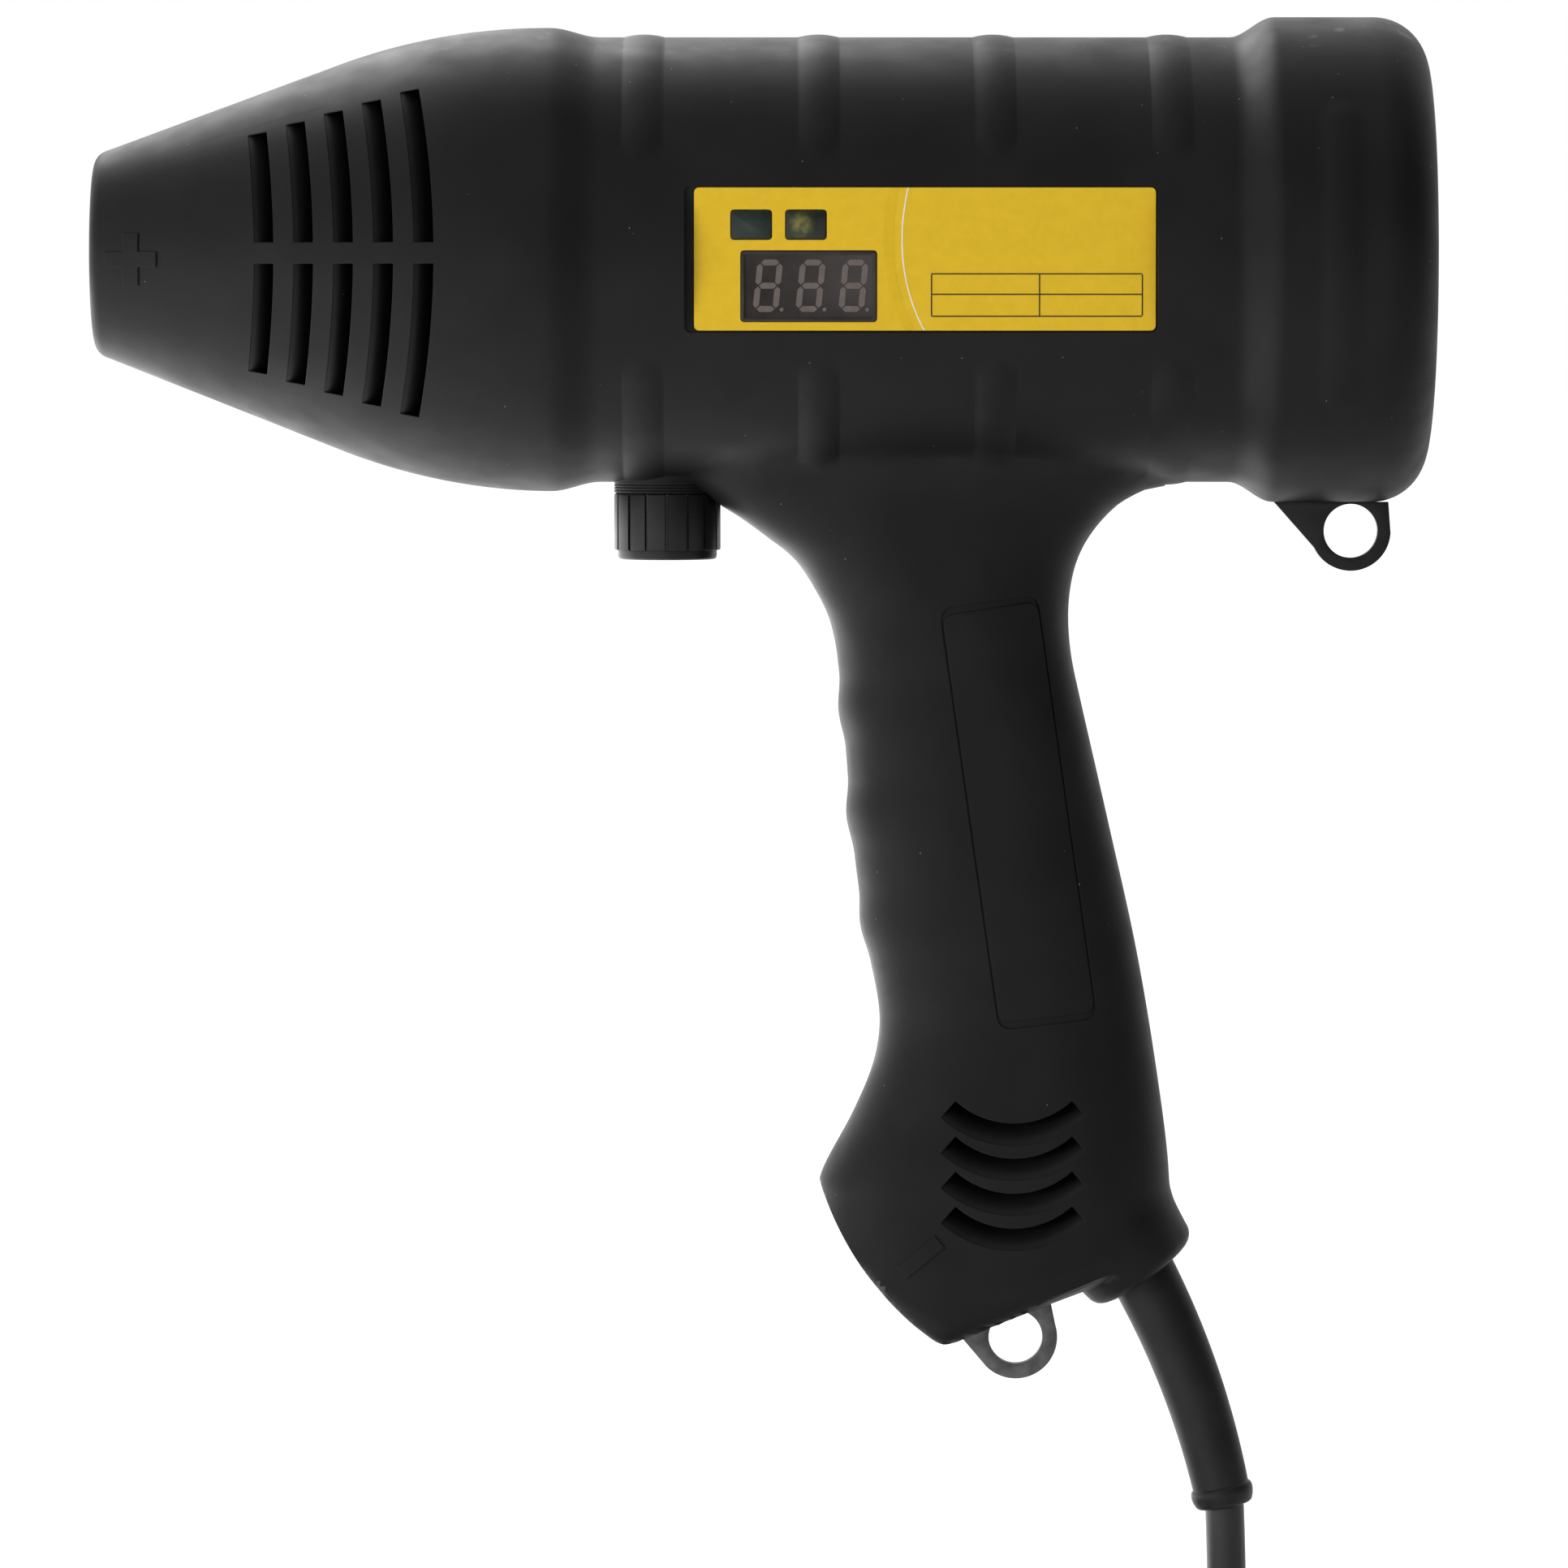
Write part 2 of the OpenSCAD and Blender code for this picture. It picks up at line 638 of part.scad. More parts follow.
// Slanted blades behind the slots, which keep fingers and drops out
blade_t = 1.2;
blade_in = 4.5;
blade_lap = 0.35;
blade_root = 0.8;
blade_seat = 0.7;
blade_back = 0.45;
blade_more_a = 2.3;
grip_blade_in = 5.6;
arc_start_x = crest_x - nose_arc_r * sin(cone_a);
function nose_in_r(x) = (x < arc_start_x ? cone_r(x) : crest_arc_r(x)) - wall / cos(cone_a);
module vent_blades(side) {
  for (i = [0:vent_rows - 1]) {
    x0 = tip_x + vent_first + i * vent_pitch;
    x1 = x0 + vent_w + blade_lap;
    r = nose_in_r(x0);
    reach_a = asin((vent_half_h + i * vent_grow) / r);
    on_axis()
      rotate([0, 0, side * 90 - reach_a])
        rotate_extrude(angle = 2 * reach_a)
          polygon([[r + blade_root, x0 - blade_back - blade_t], [r + blade_root, x0 - blade_back],
            [r - blade_in, x1], [r - blade_in, x1 - blade_t]]);
  }
  for (i = [0:grip_vent_rows - 1]) {
    z = grip_vent_z - i * grip_vent_pitch;
    r = grip_vent_r + grip_vent_w + blade_back;
    y0 = half_room(z - r) - blade_seat * wall;
    y1 = y0 - grip_blade_in;
    translate([grip_vent_x, 0, z])
      rotate([90, 0, 0])
        rotate([0, 0, -90 - grip_vent_a - blade_more_a])
          rotate_extrude(angle = 2 * (grip_vent_a + blade_more_a))
            polygon([[r, -side * y0], [r + blade_t, -side * y0],
              [grip_vent_r - blade_lap + blade_t, -side * y1],
              [grip_vent_r - blade_lap, -side * y1]]);
  }
}
module vents(side) {
  for (i = [0:vent_rows - 1])
    for (up = [-1, 1])
      translate([0, 0, axis_h])
        through(side, vent_outline(i, up), vent_from);
  for (i = [0:grip_vent_rows - 1])
    through(side, smile(i), vent_from);
}

// Screws that hold the power board on its rails
board_screw_r = 1.5;
board_screw_in = 3.4;
board_head_r = 2.8;
board_head_t = 1.8;
board_screw_x = [board_x0 + 5, board_x1 - 4];
board_screw_y = rail_y0 + 3.2;

// One half of the housing without what only one side has
module open_half(side) {
  difference() {
    union() {
      difference() {
        union() {
          barrel_outer();
          ribs();
          intersection() {
            grip_outer(side);
            above_under(0);
            union() {
              behind_front(0);
              front_bow();
            }
          }
          gland_outer();
          translate([knob_x, 0, under_z - collar_h])
            cylinder(d = knob_d, h = collar_h + collar_root);
        }
        barrel_inner();
        intersection() {
          grip_inner(side);
          above_under(wall);
          behind_front(nose_front_wall - ground_out);
        }
      }
      translate([knob_x, 0, under_z])
        cylinder(r = pot_pad_r, h = pot_seat - under_z);
      for (b = bosses)
        translate([b[0], side < 0 ? 0 : b[2], b[1]])
          rotate([90, 0, 0])
            cylinder(r = boss_r, h = b[2]);
      translate([board_x0, side > 0 ? rail_y0 : -rail_y1, board_low - rail_h])
        cube([board_x1 - board_x0, rail_y1 - rail_y0, rail_h]);
      on_axis()
        translate([0, 0, fan_x0 - stop_t])
          difference() {
            cylinder(r = cap_r - wall / 2, h = stop_t);
            translate([0, 0, -over])
              cylinder(r = stop_in_r, h = stop_t + 2 * over);
          }
    }
    translate([-far, side > 0 ? -far : 0, -far / 2])
      cube([2 * far, far, 2 * far]);
    gland_inner();
    vents(side);
    on_axis()
      translate([0, 0, rear_x - wall - over])
        cylinder(r = grille_open_r, h = wall + 2 * over);
    at_front()
      socket_seat();
    at_ground()
      socket_seat();
    at_rear_lug()
      lug_slot();
    at_handle_lug()
      lug_slot();
    translate([knob_x, 0, under_z - collar_h - knob_h - knob_room])
      cylinder(r = knob_clear_r, h = knob_h + knob_room);
    translate([knob_x, 0, under_z - collar_h - over])
      cylinder(r = bushing_r + fit_gap, h = pot_seat - under_z + collar_h + 2 * over);
    for (z = [-fan_hole, fan_hole])
      translate([fan_x0 - stop_t - over, side * fan_hole, axis_h + z])
        rotate([0, 90, 0])
          cylinder(r = screw_r + fit_gap, h = stop_t + 2 * over);
    for (x = board_screw_x)
      translate([x, side * board_screw_y, board_low - board_screw_in - screw_room])
        cylinder(r = board_screw_r + fit_gap / 2, h = board_screw_in + screw_room + over);
  }
}
module housing_half(side) {
  open_half(side);
  vent_blades(side);
}

module left_housing() {
  color("#1b1b1c")
    difference() {
      union() {
        housing_half(-1);
        translate([pocket_x - pocket_l / 2 - pad_side, -pocket_y, axis_h - pad_h / 2])
          cube([pocket_l + 2 * pad_side, pad_t, pad_h]);
        for (p = post_at)
          translate([disp_board_x + p[0], -disp_back, axis_h + p[1]])
            rotate([90, 0, 0])
              cylinder(r = post_r, h = pocket_y - disp_back - post_sink);
      }
      translate([pocket_x, -pocket_y, axis_h])
        pad_face(pocket_l, pocket_h, barrel_r, corner_r + label_gap);
      label_windows(-barrel_r, barrel_r - pocket_y + pad_t + over);
      for (b = bosses)
        translate([b[0], over, b[1]])
          rotate([90, 0, 0])
            cylinder(r = screw_r + fit_gap / 2, h = over + tip_y(b) + screw_room);
      for (p = post_at)
        translate([disp_board_x + p[0], -disp_back + over, axis_h + p[1]])
          rotate([90, 0, 0])
            cylinder(r = post_screw_r + fit_gap / 2, h = over + post_hole_l);
    }
}

module right_housing() {
  color("#1c1c1d")
    difference() {
      housing_half(1);
      for (b = bosses) {
        translate([b[0], b[2], b[1]])
          rotate([90, 0, 0])
            cylinder(r = screw_r + fit_gap, h = b[2] + over);
        translate([b[0], far / 2, b[1]])
          rotate([90, 0, 0])
            cylinder(r = screw_head_r + screw_room, h = far / 2 - head_y(b));
      }
    }
}

module rear_grille() {
  bar = 2.4;
  spoke_in = 0.4;
  rim = 4;
  hub = 6;
  ring_count = 4;
  ring_pitch = (grille_open_r - hub - bar) / ring_count;
  seat = 3;
  grille_r = grille_open_r + seat;
  color("#232324")
    on_axis()
      translate([0, 0, rear_x - wall - grille_t])
        union() {
          difference() {
            cylinder(r = grille_r, h = grille_t);
            translate([0, 0, -over])
              cylinder(r = grille_r - rim, h = grille_t + 2 * over);
          }
          for (i = [1:ring_count])
            difference() {
              cylinder(r = hub + i * ring_pitch, h = grille_t);
              translate([0, 0, -over])
                cylinder(r = hub + i * ring_pitch - bar, h = grille_t + 2 * over);
            }
          cylinder(r = hub, h = grille_t);
          for (a = [0:60:300])
            rotate([0, 0, a])
              translate([hub / 2, -bar / 2, spoke_in])
                cube([grille_r - rim / 2 - hub / 2, bar, grille_t - 2 * spoke_in]);
        }
}

module control_label() {
  color("#d8b52c")
    difference() {
      translate([label_x, -pocket_y, axis_h])
        pad_face(label_l, label_h, label_t, corner_r);
      label_windows(-pocket_y - label_t - over, label_t + 2 * over);
    }
}

module display_module() {
  color("#171a1a")
    difference() {
      window(display_off, display_size, -disp_face, disp_t);
      window(display_off, display_size - display_rim, -disp_face - over, over + display_deep);
    }
}

module indicator_lenses() {
  color("#2f3a26")
    for (o = lens_off)
      window(o, lens_size, -disp_face, disp_t);
}

module display_board() {
  color("#1f5a35")
    difference() {
      translate([disp_board_x - disp_board_l / 2, -disp_back, axis_h - disp_board_h / 2])
        cube([disp_board_l, disp_board_t, disp_board_h]);
      for (p = post_at)
        translate([disp_board_x + p[0], -disp_back + disp_board_t + over, axis_h + p[1]])
          rotate([90, 0, 0])
            cylinder(r = post_screw_r + fit_gap, h = disp_board_t + 2 * over);
    }
}

module display_screws() {
  color("#9a9a9a")
    for (p = post_at)
      translate([disp_board_x + p[0], -disp_back + disp_board_t, axis_h + p[1]])
        rotate([90, 0, 0]) {
          cylinder(r = post_screw_r, h = disp_board_t + post_screw_l);
          translate([0, 0, -post_head_t])
            cylinder(r = post_head_r, h = post_head_t);
        }
}

knob_top = under_z - collar_h - knob_gap;
nut_room_r = bushing_r + 3;
nut_room_h = 4;
knob_floor = 3;
module current_knob() {
  flutes = 16;
  flute_r = 0.6;
  flute_out = 0.2;
  top_band = 2;
  edge = 0.5;
  lip_h = 2;
  lip_in = 0.7;
  color("#141415")
    translate([knob_x, 0, knob_top])
      difference() {
        rotate_extrude()
          polygon([[0, 0], [knob_d / 2 - edge, 0], [knob_d / 2, -edge], [knob_d / 2, -knob_h + lip_h],
            [knob_d / 2 - lip_in, -knob_h + lip_h], [knob_d / 2 - lip_in, -knob_h + edge],
            [knob_d / 2 - lip_in - edge, -knob_h], [0, -knob_h]]);
        translate([0, 0, -nut_room_h])
          cylinder(r = nut_room_r, h = nut_room_h + over);
        translate([0, 0, -knob_h + knob_floor])
          cylinder(d = shaft_d, h = knob_h);
        for (i = [0:flutes - 1])
          rotate([0, 0, i * 360 / flutes])
            translate([knob_d / 2 + flute_out, 0, -knob_h + lip_h])
              cylinder(r = flute_r, h = knob_h - lip_h - top_band, $fn = 16);
      }
}

shaft_in = 5;
module knob_shaft() {
  color("#b9b9b9")
    translate([knob_x, 0, knob_top - knob_h + knob_floor])
      cylinder(d = shaft_d, h = pot_seat + shaft_in - knob_top + knob_h - knob_floor);
}

module potentiometer() {
  pot_h = 8;
  bushing_z = under_z - collar_h - bushing_out;
  color("#6d6a60")
    translate([knob_x, 0, 0])
      difference() {
        union() {
          translate([0, 0, pot_seat])
            cylinder(r = pot_r, h = pot_h);
          translate([0, 0, bushing_z])
            cylinder(r = bushing_r, h = pot_seat - bushing_z + over);
        }
        translate([0, 0, bushing_z - over])
          cylinder(r = shaft_d / 2 + run_gap, h = pot_seat + shaft_in + run_gap - bushing_z + over);
      }
}

module potentiometer_nut() {
  nut_t = 2;
  color("#a8a8a6")
    translate([knob_x, 0, under_z - collar_h - nut_t])
      difference() {
        cylinder(r = bushing_r + 2, h = nut_t, $fn = 6);
        translate([0, 0, -over])
          cylinder(r = bushing_r + fit_gap, h = nut_t + 2 * over);
      }
}

module front_socket_shell() {
  color("#202022")
    at_front()
      socket_shell();
}
module front_socket_insert() {
  color("#b08d3c")
    at_front()
      socket_insert();
}
module front_socket_nut() {
  color("#2a2a2c")
    at_front()
      socket_nut();
}
module ground_socket_shell() {
  color("#202022")
    at_ground()
      socket_shell();
}
module ground_socket_insert() {
  color("#b08d3c")
    at_ground()
      socket_insert();
}
module ground_socket_nut() {
  color("#2a2a2c")
    at_ground()
      socket_nut();
}
module stud_nuts() {
  color("#a9a9a9") {
    at_front()
      stud_nut();
    at_ground()
      stud_nut();
  }
}

module rear_strap_lug() {
  color("#1d1d1e")
    at_rear_lug()
      strap_lug();
}
module handle_strap_lug() {
  color("#8d9092")
    at_handle_lug()
      strap_lug();
}

// Tube along a list of points, with one radius for each point
function unit(v) = v / norm(v);
function along(p) = [for (i = [0:len(p) - 1]) unit(p[min(i + 1, len(p) - 1)] - p[max(i - 1, 0)])];
function carry(t, list, i = 1) = i == len(t) ? list
  : carry(t, concat(list, [unit(list[i - 1] - (list[i - 1] * t[i]) * t[i])]), i + 1);
function first_side(t) = unit(cross(t, abs(t[1]) < 0.9 ? [0, 1, 0] : [0, 0, 1]));
function rings(p, r, sides, t, u) = [for (i = [0:len(p) - 1]) let (v = cross(t[i], u[i]))
  [for (k = [0:sides - 1]) let (a = 360 * k / sides)
    p[i] + r[i] * (cos(a) * u[i] + sin(a) * v)]];
module tube(p, r, sides, t = undef) {
  dirs = is_undef(t) ? along(p) : t;
  stack(rings(p, r, sides, dirs, carry(dirs, [first_side(dirs[0])])), false);
}
// Points on a smooth curve through a route
function soft_at(p, i, t) = let (n = len(p) - 1, a = p[max(i - 1, 0)], b = p[i], c = p[i + 1],
    d = p[min(i + 2, n)])
  b + 0.5 * t * (c - a + t * (2 * a - 5 * b + 4 * c - d + t * (3 * (b - c) + d - a)));
function soft_route(p, parts) = concat(
  [for (i = [0:len(p) - 2]) for (k = [0:parts - 1]) soft_at(p, i, k / parts)], [p[len(p) - 1]]);
function same(v, n) = [for (i = [1:n]) v];
function route_len(p, i = 0) = i == len(p) - 1 ? 0 : norm(p[i + 1] - p[i]) + route_len(p, i + 1);

// Bend relief: straight in the gland, then an arc that turns down
sleeve_start_lean = 28;
sleeve_end_lean = 11;
sleeve_end_d = 12;
sleeve_collar_d = 13.2;
sleeve_collar_l = 4.4;
sleeve_parts = 10;
sleeve_turn = sleeve_start_lean - sleeve_end_lean;
sleeve_bend_r = sleeve_len / (sleeve_turn * PI / 180);
gland_dir = [sin(gland_lean), 0, -cos(gland_lean)];
gland_face = [gland_at[0], 0, gland_at[1]];
function sleeve_at(s) = let (a = sleeve_start_lean - sleeve_turn * s)
  gland_face + sleeve_bend_r * [cos(a) - cos(sleeve_start_lean), 0, sin(a) - sin(sleeve_start_lean)];
function sleeve_dir(s) = let (a = sleeve_start_lean - sleeve_turn * s) [sin(a), 0, -cos(a)];
sleeve_end = sleeve_at(1);
sleeve_steps = [for (i = [0:sleeve_parts]) i / sleeve_parts * (1 - sleeve_collar_l / 2 / sleeve_len)];
sleeve_in = [gland_lip + fit_gap + sleeve_head_t / 2, gland_lip / 2];
module strain_relief() {
  color("#18181a")
    union() {
      at_gland()
        translate([0, 0, -gland_lip - fit_gap - sleeve_head_t])
          cylinder(r = sleeve_head_r, h = sleeve_head_t);
      tube(concat([for (d = sleeve_in) gland_face - d * gland_dir], [for (s = sleeve_steps) sleeve_at(s)]),
        concat([for (d = sleeve_in) sleeve_d / 2],
          [for (s = sleeve_steps) (sleeve_d + (sleeve_end_d - sleeve_d) * s) / 2]), 16,
        concat([for (d = sleeve_in) gland_dir], [for (s = sleeve_steps) sleeve_dir(s)]));
      translate(sleeve_end)
        rotate([0, 180 - sleeve_end_lean, 0])
          translate([0, 0, -sleeve_collar_l])
            cylinder(d = sleeve_collar_d, h = sleeve_collar_l);
    }
}

// Coil on the ground: spirals in and out in four layers
cord_r = cord_d / 2;
floor_z = -216.5;
tie_t = 1.2;
tie_under = 0.1;
coil_z = floor_z + tie_t + tie_under + cord_r;
coil_at = [-20, -6];
coil_mid_r = 44.4;
coil_turns = coil_whole + 0.5;
coil_step = cord_d + 0.6;
coil_layers = 4;
coil_start_a = 90;
coil_rings = 24;
layer_turns = coil_turns / coil_layers;
coil_out_r = coil_mid_r + layer_turns * coil_step / 2;
climb_half = 0.25 / layer_turns;
function to_and_fro(u) = let (k = u - 2 * floor(u / 2)) k < 1 ? k : 2 - k;
function climb(u) = ease(min(1, max(0, (u + climb_half) / (2 * climb_half))));
function layer(u) = climb(u - 1) + climb(u - 2) + climb(u - 3);
function coil_point(u) = let (a = coil_start_a + 360 * coil_turns * u / coil_layers,
    r = coil_out_r - layer_turns * coil_step * to_and_fro(u))
  [coil_at[0] + r * cos(a), coil_at[1] + r * sin(a), coil_z + coil_step * layer(u)];
coil_count = round(coil_turns * coil_rings);
coil_wound = [for (i = [0:coil_count]) coil_point(coil_layers * i / coil_count)];
coil_in_dir = [-1, 0, 0];
coil_end_a = coil_start_a + 360 * coil_turns;
coil_end_dir = [-sin(coil_end_a), cos(coil_end_a), 0];
coil_path = concat([coil_wound[0] - cord_d * coil_in_dir], coil_wound,
  [coil_wound[coil_count] + cord_d * coil_end_dir]);
function coil_gap(i) = min([for (j = [i + coil_rings / 2:1:coil_count])
  norm(coil_wound[i] - coil_wound[j])]) - cord_d;
echo(coil_least_gap = min([for (i = [0:coil_count - coil_rings / 2]) coil_gap(i)]),
  coil_length = route_len(coil_path));
module cord_coil() {
  color("#161617")
    tube(coil_path, same(cord_r, len(coil_path)), 6);
}

// Free stretch from the bend relief down to the coil
coil_in = coil_path[0];
drop_route = [sleeve_end, sleeve_end + 9 * sleeve_dir(1), [53.8, 0, -168], [53.2, 1, -179], [50.4, 5, -190],
  [45, 13, -199.5], [37.2, 24, -206.5], [27, 34.5, -210],
  coil_in + [cord_d + 18, -5.5, 0], coil_in + [cord_d + 8.5, -1.5, 0], coil_in + [cord_d, 0, 0], coil_in];
drop_path = soft_route(drop_route, 2);
drop_dirs = [for (i = [0:len(drop_path) - 1]) i == 0 ? sleeve_dir(1)
  : i == len(drop_path) - 1 ? coil_in_dir : along(drop_path)[i]];
echo(drop_length = route_len(drop_path));
module power_cord() {
  color("#161617")
    tube(drop_path, same(cord_r, len(drop_path)), 10, drop_dirs);
}

// Tail from the coil to the plug, which lies on the ground
coil_out = coil_path[len(coil_path) - 1];
tail_l = 58;
plug_r = 18.5;
plug_neck_l = 20;
plug_l = 36;
pin_l = 19;
plug_z = floor_z + plug_r;
tail_end = [coil_out[0] + tail_l * coil_end_dir[0], coil_out[1] + tail_l * coil_end_dir[1], plug_z];
tail_drop = coil_out[2] - plug_z;
tail_parts = 10;
tail_path = [for (i = [0:tail_parts]) let (t = i / tail_parts)
  coil_out + tail_l * t * coil_end_dir - [0, 0, tail_drop * ease(t)]];
tail_dirs = [for (i = [0:tail_parts]) i == 0 || i == tail_parts ? coil_end_dir : along(tail_path)[i]];
echo(tail_length = route_len(tail_path));
module cord_tail() {
  color("#161617")
    tube(tail_path, same(cord_r, len(tail_path)), 10, tail_dirs);
}
module at_plug() {
  translate(tail_end)
    rotate([0, 0, coil_end_a + 90])
      rotate([0, 90, 0])
        children();
}

tie_a = 180;
tie_w = 8;
tie_room = 0.3;
module cord_tie() {
  in_w = layer_turns * coil_step + cord_d + 2 * tie_room;
  in_h = (coil_layers - 1) * coil_step + cord_d + tie_room;
  color("#101011")
    translate([coil_at[0], coil_at[1], coil_z - cord_r - tie_under])
      rotate([0, 0, tie_a])
        translate([coil_mid_r, tie_w / 2, 0])
          rotate([90, 0, 0])
            linear_extrude(tie_w)
              difference() {
                translate([-in_w / 2 - tie_t, -tie_t])
                  square([in_w + 2 * tie_t, in_h + 2 * tie_t]);
                translate([-in_w / 2, 0])
                  square([in_w, in_h]);
              }
}

pin_d = 4.8;
pin_pitch = 19;
pin_deep = 8;
pin_root_d = 4;
module plug_body() {
  color("#161617")
    at_plug()
      difference() {
        rotate_extrude()
          polygon([[0, 0], [5.6, 0], [7.5, plug_neck_l], [13, plug_neck_l + 3], [14, plug_neck_l + 20],
            [plug_r, plug_neck_l + 25], [plug_r, plug_neck_l + plug_l - 1],
            [plug_r - 1, plug_neck_l + plug_l], [0, plug_neck_l + plug_l]]);
        for (y = [-pin_pitch / 2, pin_pitch / 2])
          translate([0, y, plug_neck_l + plug_l - pin_deep])
            cylinder(d = pin_root_d + fit_gap, h = pin_deep + over);
      }
}
module plug_pins() {
  color("#c4c2bd")
    at_plug()
      for (y = [-pin_pitch / 2, pin_pitch / 2])
        translate([0, y, plug_neck_l + plug_l]) {
          cylinder(d = pin_d, h = pin_l);
          translate([0, 0, -pin_deep])
            cylinder(d = pin_root_d, h = pin_deep + over);
        }
}

// Fan, made along Z with its front at zero
duct_r = fan_size / 2 - 1.5;
tip_gap = 1.5;
stator_t = 4;
bearing_r = 3;
spindle_r = 1.5;
tube_r = 4.6;
tube_in = 6;
cup_t = 2;
rotor_in = 2;
rotor_gap = 1;
bearing_in = 7;
bearing_l = fan_t - bearing_in - 2;
coil_pack_in = 8;
coil_pack_gap = 1.5;
module at_fan() {
  on_axis()
    translate([0, 0, fan_x0])
      children();
}
module fan_frame() {
  strut = 4;
  corner = 5;
  color("#26282b")
    at_fan()
      difference() {
        union() {
          difference() {
            translate([-fan_size / 2, -fan_size / 2, 0])
              linear_extrude(fan_t)
                rounded_rect(fan_size, fan_size, corner);
            translate([0, 0, -over])
              cylinder(r = duct_r, h = fan_t + 2 * over);
          }
          translate([0, 0, fan_t - stator_t])
            cylinder(r = hub_r, h = stator_t);
          translate([0, 0, tube_in])
            cylinder(r = tube_r, h = fan_t - tube_in);
          for (a = [45:90:315])
            rotate([0, 0, a])
              translate([hub_r - 2, -strut / 2, fan_t - stator_t])
                cube([duct_r - hub_r + 3, strut, stator_t]);
        }
        translate([0, 0, tube_in - over])
          cylinder(r = bearing_r + fit_gap / 2, h = bearing_in + bearing_l - tube_in + over);
        for (x = [-fan_hole, fan_hole])
          for (y = [-fan_hole, fan_hole])
            translate([x, y, -over])
              cylinder(r = screw_r + fit_gap / 2, h = fan_t + 2 * over);
      }
}
module fan_bearing() {
  color("#a77f3f")
    at_fan()
      translate([0, 0, bearing_in])
        difference() {
          cylinder(r = bearing_r, h = bearing_l);
          translate([0, 0, -over])
            cylinder(r = spindle_r + run_gap, h = fan_t);
        }
}
module fan_stator() {
  color("#8a4b22")
    at_fan()
      translate([0, 0, coil_pack_in])
        difference() {
          cylinder(r = hub_r - cup_t - coil_pack_gap, h = fan_t - stator_t - coil_pack_in);
          translate([0, 0, -over])
            cylinder(r = tube_r + fit_gap, h = fan_t);
        }
}
module fan_rotor() {
  blades = 7;
  blade_t = 1.6;
  blade_pitch = 38;
  blade_l = duct_r - tip_gap - hub_r;
  rotor_h = fan_t - stator_t - rotor_in - rotor_gap;
  color("#2b2d30")
    at_fan()
      union() {
        difference() {
          translate([0, 0, rotor_in])
            cylinder(r = hub_r, h = rotor_h);
          translate([0, 0, rotor_in + cup_t])
            cylinder(r = hub_r - cup_t, h = rotor_h);
        }
        translate([0, 0, rotor_in + cup_t / 2])
          cylinder(r = spindle_r, h = bearing_in + bearing_l - rotor_in - cup_t / 2 - over);
        intersection() {
          translate([0, 0, rotor_in])
            difference() {
              cylinder(r = duct_r - tip_gap, h = rotor_h);
              translate([0, 0, -over])
                cylinder(r = hub_r - cup_t / 2, h = rotor_h + 2 * over);
            }
          for (i = [0:blades - 1])
            rotate([0, 0, i * 360 / blades])
              translate([hub_r - cup_t, 0, rotor_in + rotor_h / 2])
                rotate([blade_pitch, 0, 0])
                  translate([0, -blade_t / 2, -fan_t / 2])
                    cube([blade_l + cup_t + over, blade_t, fan_t]);
        }
      }
}
module fan_screws() {
  color("#8f8f8f")
    at_fan()
      for (x = [-fan_hole, fan_hole])
        for (y = [-fan_hole, fan_hole])
          translate([x, y, -stop_t]) {
            cylinder(r = screw_r, h = stop_t + fan_screw_in);
            translate([0, 0, -screw_head_t])
              cylinder(r = screw_head_r, h = screw_head_t);
          }
}

// Power board and what stands on it
module main_board() {
  color("#1f5a35")
    difference() {
      translate([board_x0, -board_half, board_low])
        cube([board_x1 - board_x0, 2 * board_half, board_t]);
      for (x = board_screw_x)
        for (y = [-board_screw_y, board_screw_y])
          translate([x, y, board_low - over])
            cylinder(r = board_screw_r + fit_gap, h = board_t + 2 * over);
    }
}
module board_screws() {
  color("#9a9a9a")
    for (x = board_screw_x)
      for (y = [-board_screw_y, board_screw_y])
        translate([x, y, board_top]) {
          translate([0, 0, -board_t - board_screw_in])
            cylinder(r = board_screw_r, h = board_t + board_screw_in + board_head_t / 2);
          cylinder(r = board_head_r, h = board_head_t);
        }
}

sink_x0 = -16;
sink_l = 34;
sink_w = 44;
sink_h = 34;
package = [15.6, 5, 20.5];
legs = [8, 1, 5];
leg_l = 4;
package_inset = 0.8;
module transistor_heatsink() {
  base_t = 5;
  fins = 9;
  fin_t = 2;
  color("#b4b7b9")
    translate([sink_x0, -sink_w / 2, board_top])
      union() {
        cube([sink_l, sink_w, base_t]);
        for (i = [0:fins - 1])
          translate([0, i * (sink_w - fin_t) / (fins - 1), 0])
            cube([sink_l, fin_t, sink_h]);
      }
}
module package_with_legs() {
  cube(package);
  translate([(package[0] - legs[0]) / 2, (package[1] - legs[1]) / 2, -leg_l])
    cube(legs);
}
module transistors() {
  color("#1a1a1a")
    for (x = [sink_x0 + package_inset, sink_x0 + sink_l - package[0] - package_inset])
      for (y = [-sink_w / 2 - package[1], sink_w / 2])
        translate([x, y, board_top + leg_l])
          package_with_legs();
}
module bridge_rectifier() {
  bridge = [4.6, 30, 20];
  bridge_legs = [1, 26, leg_l + over];
  color("#1d1d1f")
    translate([sink_x0 + sink_l, 0, board_top]) {
      translate([0, -bridge[1] / 2, leg_l])
        cube(bridge);
      translate([(bridge[0] - bridge_legs[0]) / 2, -bridge_legs[1] / 2, 0])
        cube(bridge_legs);
    }
}
module bulk_capacitors() {
  can_r = 11;
  can_h = 36;
  can_pitch = 24;
  can_inset = 14;
  color("#20262e")
    for (y = [-can_pitch, 0, can_pitch])
      translate([board_x1 - can_inset, y, board_top])
        cylinder(r = can_r, h = can_h);
}

